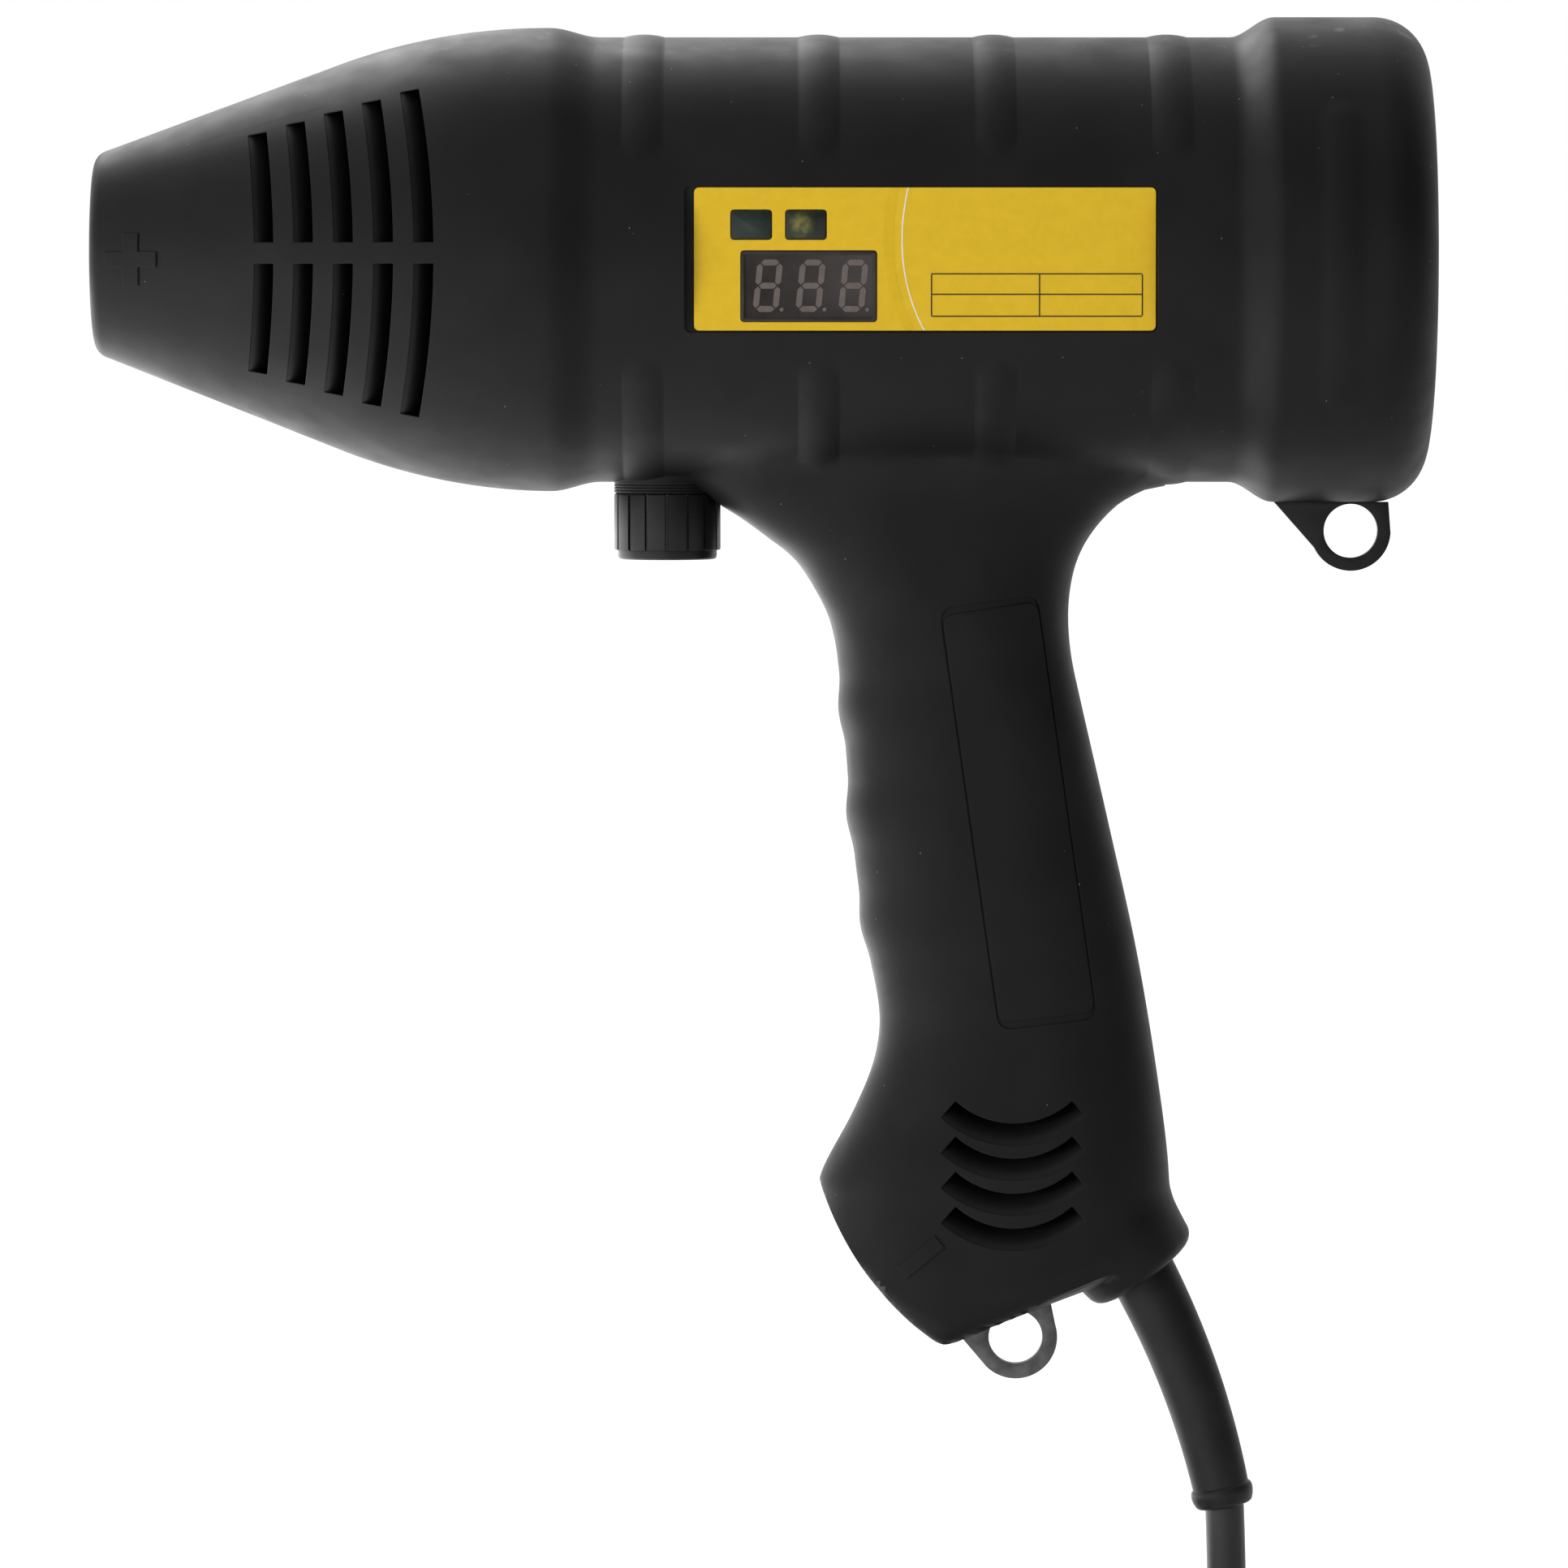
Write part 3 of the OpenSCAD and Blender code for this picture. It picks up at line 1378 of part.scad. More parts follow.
core_x = -37;
core = [24, 44, 40];
leg_w = 13;
window_w = 9;
window_h = 26;
module transformer_core() {
  color("#3a3a3d")
    translate([core_x, 0, board_top])
      difference() {
        translate([-core[0] / 2, -core[1] / 2, 0])
          cube(core);
        for (y = [-leg_w / 2 - window_w, leg_w / 2])
          translate([-core[0] / 2 - over, y, (core[2] - window_h) / 2])
            cube([core[0] + 2 * over, window_w, window_h]);
      }
}
module transformer_winding() {
  gap = 0.3;
  bulge = 7;
  coil_l = window_h - 2 * gap;
  color("#c99a3a")
    translate([core_x, 0, board_top + core[2] / 2 - coil_l / 2])
      difference() {
        translate([-core[0] / 2 - bulge, -leg_w / 2 - window_w + gap, 0])
          cube([core[0] + 2 * bulge, leg_w + 2 * (window_w - gap), coil_l]);
        translate([-core[0] / 2 - gap, -leg_w / 2 - gap, -over])
          cube([core[0] + 2 * gap, leg_w + 2 * gap, coil_l + 2 * over]);
      }
}
choke_x = -66.5;
choke_r = [8, 15];
choke_t = 9;
wire_t = 1.6;
module choke_core() {
  color("#4a4f3c")
    translate([choke_x, 0, board_top + choke_r[1] + wire_t])
      rotate([0, 90, 0])
        rotate_extrude()
          translate([choke_r[0], -choke_t / 2])
            square([choke_r[1] - choke_r[0], choke_t]);
}
module choke_winding() {
  color("#b5652a")
    translate([choke_x, 0, board_top + choke_r[1] + wire_t])
      rotate([0, 90, 0])
        rotate([0, 0, 200])
          rotate_extrude(angle = 320)
            difference() {
              translate([choke_r[0] - wire_t, -choke_t / 2 - wire_t])
                square([choke_r[1] - choke_r[0] + 2 * wire_t, choke_t + 2 * wire_t]);
              translate([choke_r[0], -choke_t / 2])
                square([choke_r[1] - choke_r[0], choke_t]);
            }
}

plate_y = 26;
plate_t = 4;
plate_x0 = -72;
plate_l = 48;
plate_h = 28;
module diode_heatsink() {
  color("#b9bcbe")
    translate([plate_x0, plate_y, board_top])
      cube([plate_l, plate_t, plate_h]);
}
module output_diodes() {
  color("#1a1a1a")
    for (i = [0:2])
      translate([plate_x0 + i * plate_l / 3, plate_y + plate_t, board_top + leg_l])
        package_with_legs();
}
bar_t = 2;
bar_w = 10;
bar_y = plate_y - bar_t;
bar_x0 = tip_x + clip_at;
bar_lap = 10;
tab_extra = 2;
module output_busbar() {
  color("#1b1b1c")
    difference() {
      union() {
        translate([bar_x0, bar_y, axis_h - bar_w / 2])
          cube([plate_x0 + bar_lap - bar_x0, bar_t, bar_w]);
        translate([bar_x0, -stud_d, axis_h - bar_w / 2 - tab_extra])
          cube([lug_plate_t, bar_y + bar_t + stud_d, bar_w + 2 * tab_extra]);
      }
      translate([bar_x0 - over, 0, axis_h])
        rotate([0, 90, 0])
          cylinder(d = stud_d + 2 * fit_gap, h = lug_plate_t + 2 * over);
    }
}

// Lug on the stud of the ground socket and the leads in the grip
lug_reach = 16;
lead_r = 3.2;
lug_barrel_r = 4.4;
lug_barrel_l = 8;
lug_plate_r = 7;
lug_strip_w = 8;
module ground_lug() {
  color("#c3c5c7")
    at_ground()
      translate([0, 0, -clip_at - lug_plate_t])
        difference() {
          union() {
            cylinder(r = lug_plate_r, h = lug_plate_t);
            translate([over - lug_reach, -lug_strip_w / 2, 0])
              cube([lug_reach - over, lug_strip_w, lug_plate_t]);
            translate([-lug_reach, 0, lug_barrel_r / 2])
              rotate([0, 90, 0])
                cylinder(r = lug_barrel_r, h = lug_barrel_l);
          }
          translate([0, 0, -over])
            cylinder(d = stud_d + 2 * fit_gap, h = lug_plate_t + 2 * over);
          translate([lug_barrel_l - lug_reach, -lug_barrel_r - over, lug_plate_t])
            cube([lug_reach, 2 * lug_barrel_r + 2 * over, 2 * lug_barrel_r]);
        }
}
lug_in = clip_at + lug_plate_t - lug_barrel_r / 2;
lug_dir = [cos(base_front_a), 0, -sin(base_front_a)];
lug_mouth = [ground_at[0], 0, ground_at[1]] + lug_in * [sin(base_front_a), 0, cos(base_front_a)]
  - lug_reach * lug_dir;
ground_route = [[-30, 0, board_low], [-30, 0, board_low - 9], [-24, 0, 68], [-17, 0, 42], [-15, 0, 10],
  [-14, 0, -20], [-13, 0, -42], lug_mouth - 7 * lug_dir, lug_mouth];
ground_path = soft_route(ground_route, 3);
module ground_lead() {
  n = len(ground_path) - 1;
  color("#17181a")
    tube(ground_path, same(lead_r, n + 1), 10,
      [for (i = [0:n]) i == 0 ? [0, 0, -1] : i == n ? lug_dir : along(ground_path)[i]]);
}
mains_r = 1.6;
mains_start = gland_face - (gland_lip + fit_gap + sleeve_head_t) * gland_dir;
mains_rise = [[31.4, 0, -76], [31.4, 0, -62], [28.4, 0, -40], [24.2, 0, -14], [19, 0, 10],
  [15, 0, under_z - 38], [13.4, 0, under_z - 28], [17, 0, under_z - 8], [20, 0, board_low - 8],
  [20, 0, board_low]];
module mains_leads() {
  lead_y = 3;
  color("#7a4b2a")
    for (y = [-lead_y, lead_y]) {
      route = concat([mains_start + [0, y, 0]], [for (q = mains_rise) q + [0, y, 0]]);
      path = soft_route(route, 2);
      n = len(path) - 1;
      tube(path, same(mains_r, n + 1), 8,
        [for (i = [0:n]) i == 0 ? -gland_dir : i == n ? [0, 0, 1] : along(path)[i]]);
    }
}

module housing_screws() {
  color("#77797b")
    for (b = bosses)
      translate([b[0], head_y(b), b[1]])
        rotate([90, 0, 0])
          difference() {
            union() {
              cylinder(r = screw_r, h = head_y(b) + tip_y(b));
              translate([0, 0, -screw_head_t])
                cylinder(r = screw_head_r, h = screw_head_t);
            }
            translate([0, 0, -screw_head_t - over])
              cylinder(r = hex_r, h = over + hex_deep, $fn = 6);
          }
}

left_housing();
right_housing();
rear_grille();
control_label();
display_module();
indicator_lenses();
display_board();
display_screws();
current_knob();
knob_shaft();
potentiometer();
potentiometer_nut();
front_socket_shell();
front_socket_insert();
front_socket_nut();
ground_socket_shell();
ground_socket_insert();
ground_socket_nut();
stud_nuts();
rear_strap_lug();
handle_strap_lug();
strain_relief();
power_cord();
cord_coil();
cord_tail();
cord_tie();
plug_body();
plug_pins();
fan_frame();
fan_bearing();
fan_stator();
fan_rotor();
fan_screws();
main_board();
board_screws();
transistor_heatsink();
transistors();
bridge_rectifier();
bulk_capacitors();
transformer_core();
transformer_winding();
choke_core();
choke_winding();
diode_heatsink();
output_diodes();
output_busbar();
ground_lug();
ground_lead();
mains_leads();
housing_screws();
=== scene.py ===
"""Looks of a gun-shaped inverter arc welder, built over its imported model.

Shapes are worked out in millimetres in the part's own frame: the origin is the centre of the hand
grip, the nose points along -X, the left side is at -Y and Z is up. A finished piece is in metres.
"""
import logging
from collections.abc import Iterable, Sequence
from dataclasses import dataclass, field
from enum import Enum
from math import asin, atan2, copysign, cos, exp, hypot, pi, radians, sin, sqrt, tan, tau

import bmesh
import bpy
from mathutils import Matrix, Vector


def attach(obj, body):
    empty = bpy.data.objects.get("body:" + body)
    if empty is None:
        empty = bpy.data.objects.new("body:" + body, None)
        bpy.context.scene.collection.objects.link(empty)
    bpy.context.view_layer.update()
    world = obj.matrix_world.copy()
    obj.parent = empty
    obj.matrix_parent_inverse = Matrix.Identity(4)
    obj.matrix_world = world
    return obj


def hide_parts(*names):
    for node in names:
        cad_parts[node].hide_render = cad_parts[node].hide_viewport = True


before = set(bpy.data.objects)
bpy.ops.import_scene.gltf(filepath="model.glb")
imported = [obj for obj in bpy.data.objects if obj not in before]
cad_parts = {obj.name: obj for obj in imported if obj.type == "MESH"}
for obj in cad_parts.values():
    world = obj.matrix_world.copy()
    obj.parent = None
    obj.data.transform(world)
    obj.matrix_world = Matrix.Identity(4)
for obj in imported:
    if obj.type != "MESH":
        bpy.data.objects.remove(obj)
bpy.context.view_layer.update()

MM = 0.001
# In millimetres: points this close are one, cuts this close snap, past everything, past the left side
TINY = 1e-5
NEAR = 1e-4
FAR = 400.0
OUT = -60.0
# Degrees below which two faces are one
FLAT = 0.4
WHITE = "#ffffff"
LOG = logging.getLogger("gun_welder")
Pair = tuple[float, float]
Triple = tuple[float, float, float]
Outline = list[Pair]
Inputs = dict[str | int, object]
Mesh = bmesh.types.BMesh
Piece = bpy.types.Object
Tree = bpy.types.NodeTree
Node = bpy.types.Node
Socket = bpy.types.NodeSocket


class Op(Enum):
    """What a Boolean modifier does with its tool."""

    JOIN = "UNION"
    CUT = "DIFFERENCE"
    KEEP = "INTERSECT"


class Body(Enum):
    """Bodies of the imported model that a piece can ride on."""

    HOUSING = "housing"
    KNOB = "knob"
    FAN = "fan"


class Side(Enum):
    """The two halves of the housing, by the sign of their Y."""

    LEFT = -1
    RIGHT = 1


# Small helpers for meshes


def ease(t: float) -> float:
    """Smooth step from 0 to 1."""
    return t * t * (3 - 2 * t)


def clamp(value: float, low: float, high: float) -> float:
    """The value, kept between low and high."""
    return max(low, min(high, value))


def full_turn(count: int) -> list[float]:
    """Angles in radians that share out a full turn."""
    return [tau * i / count for i in range(count)]


def filleted(points: Outline, radius: float, steps: int = 6, closed: bool = True) -> Outline:
    """Round the corners of an outline.

    Args:
        points: Corners in order.
        radius: How far from a corner its rounding starts, at most.
        steps: Segments of one rounding.
        closed: Whether the last point joins the first.

    Returns:
        The rounded outline.
    """
    done: Outline = []
    for i, point in enumerate(points):
        if not closed and i in (0, len(points) - 1):
            done.append(point)
            continue
        here = Vector(point)
        before, after = Vector(points[i - 1]), Vector(points[(i + 1) % len(points)])
        start = here + (before - here).normalized() * min(radius, 0.45 * (before - here).length)
        end = here + (after - here).normalized() * min(radius, 0.45 * (after - here).length)
        for k in range(steps + 1):
            t = k / steps
            at = start * (1 - t) ** 2 + here * 2 * t * (1 - t) + end * t * t
            done.append((at.x, at.y))
    return done


def box_outline(centre: Pair, length: float, height: float) -> Outline:
    """Corners of a rectangle round a centre."""
    x, z = centre
    return [(x + a * length / 2, z + b * height / 2) for a, b in ((-1, -1), (1, -1), (1, 1), (-1, 1))]


def prism(outline: Outline, y0: float, y1: float) -> Mesh:
    """Extrude an outline in X and Z along Y.

    Args:
        outline: Corners in order.
        y0: Where the prism starts.
        y1: Where it ends.

    Returns:
        A closed mesh.
    """
    bm = bmesh.new()
    face = bm.faces.new([bm.verts.new((x, y0, z)) for x, z in outline])
    made = bmesh.ops.extrude_face_region(bm, geom=[face])["geom"]
    moved = [v for v in made if isinstance(v, bmesh.types.BMVert)]
    bmesh.ops.translate(bm, verts=moved, vec=(0, y1 - y0, 0))
    bmesh.ops.recalc_face_normals(bm, faces=bm.faces)
    return bm


def spun(profile: Sequence[Pair], steps: int) -> Mesh:
    """Spin radius and height pairs round the Z axis.

    Args:
        profile: Radius and height of each point, from axis to axis for a solid, or a closed ring.
        steps: Segments of the full turn.

    Returns:
        A mesh with its doubles merged and its faces outwards.
    """
    bm = bmesh.new()
    verts = [bm.verts.new((r, 0, z)) for r, z in profile]
    edges = [bm.edges.new(pair) for pair in zip(verts, verts[1:])]
    if min(profile[0][0], profile[-1][0]) > TINY:
        edges.append(bm.edges.new((verts[-1], verts[0])))
    bmesh.ops.spin(bm, geom=verts + edges, cent=(0, 0, 0), axis=(0, 0, 1), angle=tau, steps=steps,
                   use_merge=True)
    bmesh.ops.remove_doubles(bm, verts=bm.verts, dist=TINY)
    bmesh.ops.recalc_face_normals(bm, faces=bm.faces)
    return bm


def stepped(radii: Pair, heights: Triple) -> Outline:
    """Profile of a round bar of two radii, from its lowest height over its step to its highest."""
    (narrow, wide), (low, step, high) = radii, heights
    return [(0.0, low), (narrow, low), (narrow, step), (wide, step), (wide, high), (0.0, high)]


def lofted(rings: Sequence[Sequence[Vector]]) -> Mesh:
    """Skin a row of rings that have the same number of points, and close its ends.

    Args:
        rings: Points of each ring, in order.

    Returns:
        A closed mesh.
    """
    bm = bmesh.new()
    place = bm.verts.layers.int.new("place")
    verts = [bm.verts.new(p) for p in rings[0]]
    for i, v in enumerate(verts):
        v[place] = i
    edges = [bm.edges.new((verts[i - 1], verts[i])) for i in range(len(verts))]
    bm.faces.new(verts)
    for ring in rings[1:]:
        made = bmesh.ops.extrude_edge_only(bm, edges=edges)["geom"]
        verts = [v for v in made if isinstance(v, bmesh.types.BMVert)]
        edges = [e for e in made if isinstance(e, bmesh.types.BMEdge)]
        for v in verts:
            v.co = ring[v[place]]
    bm.faces.new(sorted(verts, key=lambda v: v[place]))
    bmesh.ops.recalc_face_normals(bm, faces=bm.faces)
    return bm


def stored(bm: Mesh, name: str) -> bpy.types.Mesh:
    """Turn a working mesh into mesh data, and free it.

    Args:
        bm: The working mesh.
        name: Name of the data.

    Returns:
        The mesh data.
    """
    mesh = bpy.data.meshes.new(name)
    bm.to_mesh(mesh)
    bm.free()
    return mesh


def shown(name: str, data: bpy.types.ID) -> Piece:
    """Put an object with its data in the scene.

    Args:
        name: Name of the object.
        data: What it shows.

    Returns:
        The object.
    """
    made = bpy.data.objects.new(name, data)
    bpy.context.scene.collection.objects.link(made)
    return made


def merged(*parts: Mesh) -> Mesh:
    """Put meshes that don't touch in one mesh, and free them.

    Args:
        parts: The meshes.

    Returns:
        One mesh with all of them.
    """
    whole = bmesh.new()
    for part in parts:
        carrier = stored(part, "carrier")
        whole.from_mesh(carrier)
        bpy.data.meshes.remove(carrier)
    return whole


def placed(bm: Mesh, matrix: Matrix) -> Mesh:
    """Move a mesh by a matrix."""
    bmesh.ops.transform(bm, matrix=matrix, verts=bm.verts)
    return bm


def rod(radius: float, start: Sequence[float], end: Sequence[float], steps: int = 48) -> Mesh:
    """A round bar between two points.

    Args:
        radius: Its radius.
        start: One end.
        end: The other end.
        steps: Segments round it.

    Returns:
        A closed mesh.
    """
    way = Vector(end) - Vector(start)
    turn = Vector((0, 0, 1)).rotation_difference(way).to_matrix().to_4x4()
    bar = spun([(0, 0), (radius, 0), (radius, way.length), (0, way.length)], steps)
    return placed(bar, Matrix.Translation(Vector(start)) @ turn)


def block(low: Sequence[float], high: Sequence[float]) -> Mesh:
    """A box between two corners."""
    (x0, y0, z0), (x1, y1, z1) = low, high
    return prism([(x0, z0), (x1, z0), (x1, z1), (x0, z1)], y0, y1)


def carve(base: Mesh, op: Op, *tools: Mesh) -> Mesh:
    """Combine closed meshes with the Boolean modifier, and free them.

    Args:
        base: The mesh that is changed.
        op: What each tool does to it.
        tools: Meshes that change it, one after the other.

    Returns:
        The resulting mesh.
    """
    helpers = [shown("helper", stored(bm, "helper")) for bm in (base, *tools)]
    for tool in helpers[1:]:
        cut = helpers[0].modifiers.new(op.name, "BOOLEAN")
        cut.operation, cut.solver, cut.object = op.value, "MANIFOLD", tool
    result = bmesh.new()
    result.from_object(helpers[0], bpy.context.evaluated_depsgraph_get())
    for helper in helpers:
        bpy.data.meshes.remove(helper.data)
    return result


def bevelled(bm: Mesh, width: float, segments: int = 2, angle: float = 35.0) -> Mesh:
    """Round every edge of a mesh that turns more than an angle.

    Args:
        bm: The mesh.
        width: Width of the rounding in millimetres.
        segments: Segments of the rounding.
        angle: Least turn of an edge in degrees.

    Returns:
        The same mesh.
    """
    limit = radians(angle)
    sharp = [e for e in bm.edges if len(e.link_faces) == 2 and e.calc_face_angle() > limit]
    bmesh.ops.bevel(bm, geom=sharp, offset=width, segments=segments, profile=0.5, affect="EDGES", material=-1,
                    clamp_overlap=True)
    return bm


def cad_copy(node: str) -> Mesh:
    """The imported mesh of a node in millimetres, merged and with its flat faces whole.

    Args:
        node: Name of the node.

    Returns:
        The copy.
    """
    bm = bmesh.new()
    bm.from_mesh(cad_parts[node].data)
    placed(bm, Matrix.Scale(1 / MM, 4))
    bmesh.ops.remove_doubles(bm, verts=bm.verts, dist=NEAR)
    bmesh.ops.dissolve_limit(bm, angle_limit=radians(FLAT), verts=bm.verts, edges=bm.edges)
    return bm


# Finishes


def linear(colour: str) -> tuple[float, float, float, float]:
    """Turn an sRGB hex colour such as #1b1b1c into linear red, green, blue and alpha."""
    parts = [int(colour[i:i + 2], 16) / 255 for i in (1, 3, 5)]
    return (*[c / 12.92 if c <= 0.04045 else ((c + 0.055) / 1.055) ** 2.4 for c in parts], 1.0)


def add_node(tree: Tree, kind: str, inputs: Inputs | None = None, **settings: object) -> Node:
    """Add one node with its settings and links.

    Args:
        tree: The tree that takes the node.
        kind: Blender's name for the node, without the words ShaderNode.
        inputs: For each input, by name or number, its value, the output that feeds it, or a node that
            feeds it from its first output.
        settings: Attributes of the node itself.

    Returns:
        The node.
    """
    made = tree.nodes.new("ShaderNode" + kind)
    for name, value in settings.items():
        setattr(made, name, value)
    for name, value in (inputs or {}).items():
        feed = value.outputs[0] if isinstance(value, Node) else value
        if isinstance(feed, Socket):
            tree.links.new(feed, made.inputs[name])
        else:
            made.inputs[name].default_value = feed
    return made


@dataclass(frozen=True)
class Finish:
    """A surface with a mottled colour, an uneven sheen and a fine grain.

    Sizes are in millimetres: grain is the width of the texture's bumps, depth their height, mottle
    the width of the colour patches and edge the rounding that a crisp edge shows.
    """

    name: str
    colour: str
    shade: str
    roughness: float
    grain: float = 0.5
    depth: float = 0.01
    mottle: float = 18.0
    metallic: float = 0.0
    specular: float = 0.5
    ior: float = 1.5
    edge: float = 0.0

    def material(self) -> bpy.types.Material:
        """Build the material once.

        Returns:
            The material, made or found by its name.
        """
        if self.name in bpy.data.materials:
            return bpy.data.materials[self.name]
        made = bpy.data.materials.new(self.name)
        made.use_nodes = True
        tree = made.node_tree
        tree.nodes.clear()
        place = add_node(tree, "TexCoord").outputs["Object"]
        inputs: Inputs = {"Base Color": self.tint(tree, place), "Roughness": self.sheen(tree, place),
                          "Metallic": self.metallic, "IOR": self.ior, "Specular IOR Level": self.specular}
        bump: Inputs = {"Height": self.relief(tree, place), "Distance": self.depth * MM, "Strength": 1.0}
        if self.edge:
            bump["Normal"] = add_node(tree, "Bevel", {"Radius": self.edge * MM}, samples=6)
        inputs["Normal"] = add_node(tree, "Bump", bump)
        add_node(tree, "OutputMaterial", {"Surface": add_node(tree, "BsdfPrincipled", inputs)})
        return made

    def tint(self, tree: Tree, place: Socket) -> Socket:
        """Colour that drifts between the two shades.

        Args:
            tree: The material's nodes.
            place: Object coordinates.

        Returns:
            The colour.
        """
        noise = add_node(tree, "TexNoise", {"Vector": place, "Scale": 1 / (self.mottle * MM), "Detail": 4.0})
        patches = add_node(tree, "MapRange", {"Value": noise, "From Min": 0.35, "From Max": 0.65})
        shades: Inputs = {0: patches, 6: linear(self.colour), 7: linear(self.shade)}
        return add_node(tree, "Mix", shades, data_type="RGBA").outputs[2]

    def sheen(self, tree: Tree, place: Socket) -> Socket:
        """Roughness that drifts a little round its value.

        Args:
            tree: The material's nodes.
            place: Object coordinates.

        Returns:
            The roughness.
        """
        size = self.mottle * 0.6
        smears = add_node(tree, "TexNoise", {"Vector": place, "Scale": 1 / (size * MM), "Detail": 6.0})
        drift: Inputs = {"Value": smears, "From Min": 0.3, "From Max": 0.7, "To Min": self.roughness * 0.88,
                         "To Max": min(1.0, self.roughness * 1.12)}
        return add_node(tree, "MapRange", drift).outputs[0]

    def relief(self, tree: Tree, place: Socket) -> Socket:
        """Height of the grain from 0 to 1."""
        size = self.grain * MM
        return add_node(tree, "TexNoise", {"Vector": place, "Scale": 1 / size, "Detail": 3.0}).outputs[0]


@dataclass(frozen=True)
class MouldedShell(Finish):
    """Injection-moulded plastic with a spark-eroded grain, stray dust and pale dashes along its top that are
    painted highlights.
    """

    dust: str = "#8d8d8b"
    dust_gap: float = 4.2
    # Colour, width and height range of the pale dashes painted on the barrel's crest as highlights
    crest_glint: str = "#6f6f6e"
    glint_w: float = 5.0
    glint_from: float = 163.5
    glint_to: float = 168.0

    def tint(self, tree: Tree, place: Socket) -> Socket:
        """Mottled colour with specks of dust, and pale dashes on the top of the barrel that are painted
        highlights.

        Args:
            tree: The material's nodes.
            place: Object coordinates.

        Returns:
            The colour.
        """
        colour = Finish.tint(self, tree, place)
        grid: Inputs = {"Vector": place, "Scale": 1 / (self.dust_gap * MM), "Randomness": 1.0}
        cells = add_node(tree, "TexVoronoi", grid).outputs
        speck = add_node(tree, "MapRange", {"Value": cells["Distance"], "From Min": 0.02, "From Max": 0.035,
                                            "To Min": 1.0, "To Max": 0.0})
        rare = add_node(tree, "MapRange", {"Value": cells["Color"], "From Min": 0.55, "From Max": 0.6})
        # Pale dashes at the very top of the barrel: painted highlights mixed into the colour
        height = add_node(tree, "SeparateXYZ", {"Vector": place}).outputs["Z"]
        high = add_node(tree, "MapRange", {"Value": height, "From Min": self.glint_from * MM,
                                           "From Max": self.glint_to * MM})
        noise = add_node(tree, "TexNoise", {"Vector": place, "Scale": 1 / (self.glint_w * MM), "Detail": 8.0})
        glinting = add_node(tree, "MapRange", {"Value": noise, "From Min": 0.6, "From Max": 0.72, "To Max": 0.45})
        for first, second, pale in ((speck, rare, self.dust), (high, glinting, self.crest_glint)):
            share = add_node(tree, "Math", {0: first, 1: second}, operation="MULTIPLY")
            laid: Inputs = {0: share, 6: colour, 7: linear(pale)}
            colour = add_node(tree, "Mix", laid, data_type="RGBA").outputs[2]
        return colour


@dataclass(frozen=True)
class LinedSurface(Finish):
    """A surface with fine parallel lines, as brushing, turning, winding or extrusion leaves."""

    along: Triple = (1.0, 1.0, 0.02)

    def relief(self, tree: Tree, place: Socket) -> Socket:
        """Noise drawn out along one direction.

        Args:
            tree: The material's nodes.
            place: Object coordinates.

        Returns:
            The height from 0 to 1.
        """
        drawn = add_node(tree, "Mapping", {"Vector": place, "Scale": self.along})
        size = self.grain * MM
        return add_node(tree, "TexNoise", {"Vector": drawn, "Scale": 1 / size, "Detail": 2.0}).outputs[0]


@dataclass(frozen=True)
class WoundWire(Finish):
    """Turns of wire side by side, in bands of the grain's width along Z.

    A wave texture of scale 1 draws bands_per_unit bands in one unit.
    """

    bands_per_unit: float = 3.2

    def relief(self, tree: Tree, place: Socket) -> Socket:
        """Round ridges, one for each turn of the wire.

        Args:
            tree: The material's nodes.
            place: Object coordinates.

        Returns:
            The height from 0 to 1.
        """
        size = self.grain * MM * self.bands_per_unit
        wave: Inputs = {"Vector": place, "Scale": 1 / size, "Distortion": 0.4}
        return add_node(tree, "TexWave", wave, bands_direction="Z").outputs[1]


@dataclass(frozen=True)
class CircuitBoard(Finish):
    """Solder mask with pale round pads."""

    pad: str = "#b8b6a8"
    pad_gap: float = 5.0

    def tint(self, tree: Tree, place: Socket) -> Socket:
        """Mottled solder mask with small round pads.

        Args:
            tree: The material's nodes.
            place: Object coordinates.

        Returns:
            The colour.
        """
        mask = Finish.tint(self, tree, place)
        grid: Inputs = {"Vector": place, "Scale": 1 / (self.pad_gap * MM), "Randomness": 0.6}
        cells = add_node(tree, "TexVoronoi", grid).outputs
        pads = add_node(tree, "MapRange", {"Value": cells["Distance"], "From Min": 0.16, "From Max": 0.18,
                                           "To Min": 1.0, "To Max": 0.0})
        return add_node(tree, "Mix", {0: pads, 6: mask, 7: linear(self.pad)}, data_type="RGBA").outputs[2]


@dataclass(frozen=True)
class TintedWindow(Finish):
    """Smooth tinted plastic with a soft spot behind it."""

    spot: str = "#7d7a33"
    spot_at: Triple = (0.0, 0.0, 0.0)
    spot_r: float = 3.0
    cloud: float = 1.4

    def tint(self, tree: Tree, place: Socket) -> Socket:
        """The window's colour with a paler, cloudy spot round one point.

        Args:
            tree: The material's nodes.
            place: Object coordinates.

        Returns:
            The colour.
        """
        window = Finish.tint(self, tree, place)
        centre = tuple(c * MM for c in self.spot_at)
        away = add_node(tree, "VectorMath", {0: place, 1: centre}, operation="DISTANCE").outputs["Value"]
        glow = add_node(tree, "MapRange", {"Value": away, "From Min": 0.3 * MM, "From Max": self.spot_r * MM,
                                           "To Min": 0.85, "To Max": 0.0})
        noise = add_node(tree, "TexNoise", {"Vector": place, "Scale": 1 / (self.cloud * MM), "Detail": 4.0})
        uneven = add_node(tree, "MapRange", {"Value": noise, "From Min": 0.3, "From Max": 0.6})
        share = add_node(tree, "Math", {0: glow, 1: uneven}, operation="MULTIPLY")
        return add_node(tree, "Mix", {0: share, 6: window, 7: linear(self.spot)}, data_type="RGBA").outputs[2]


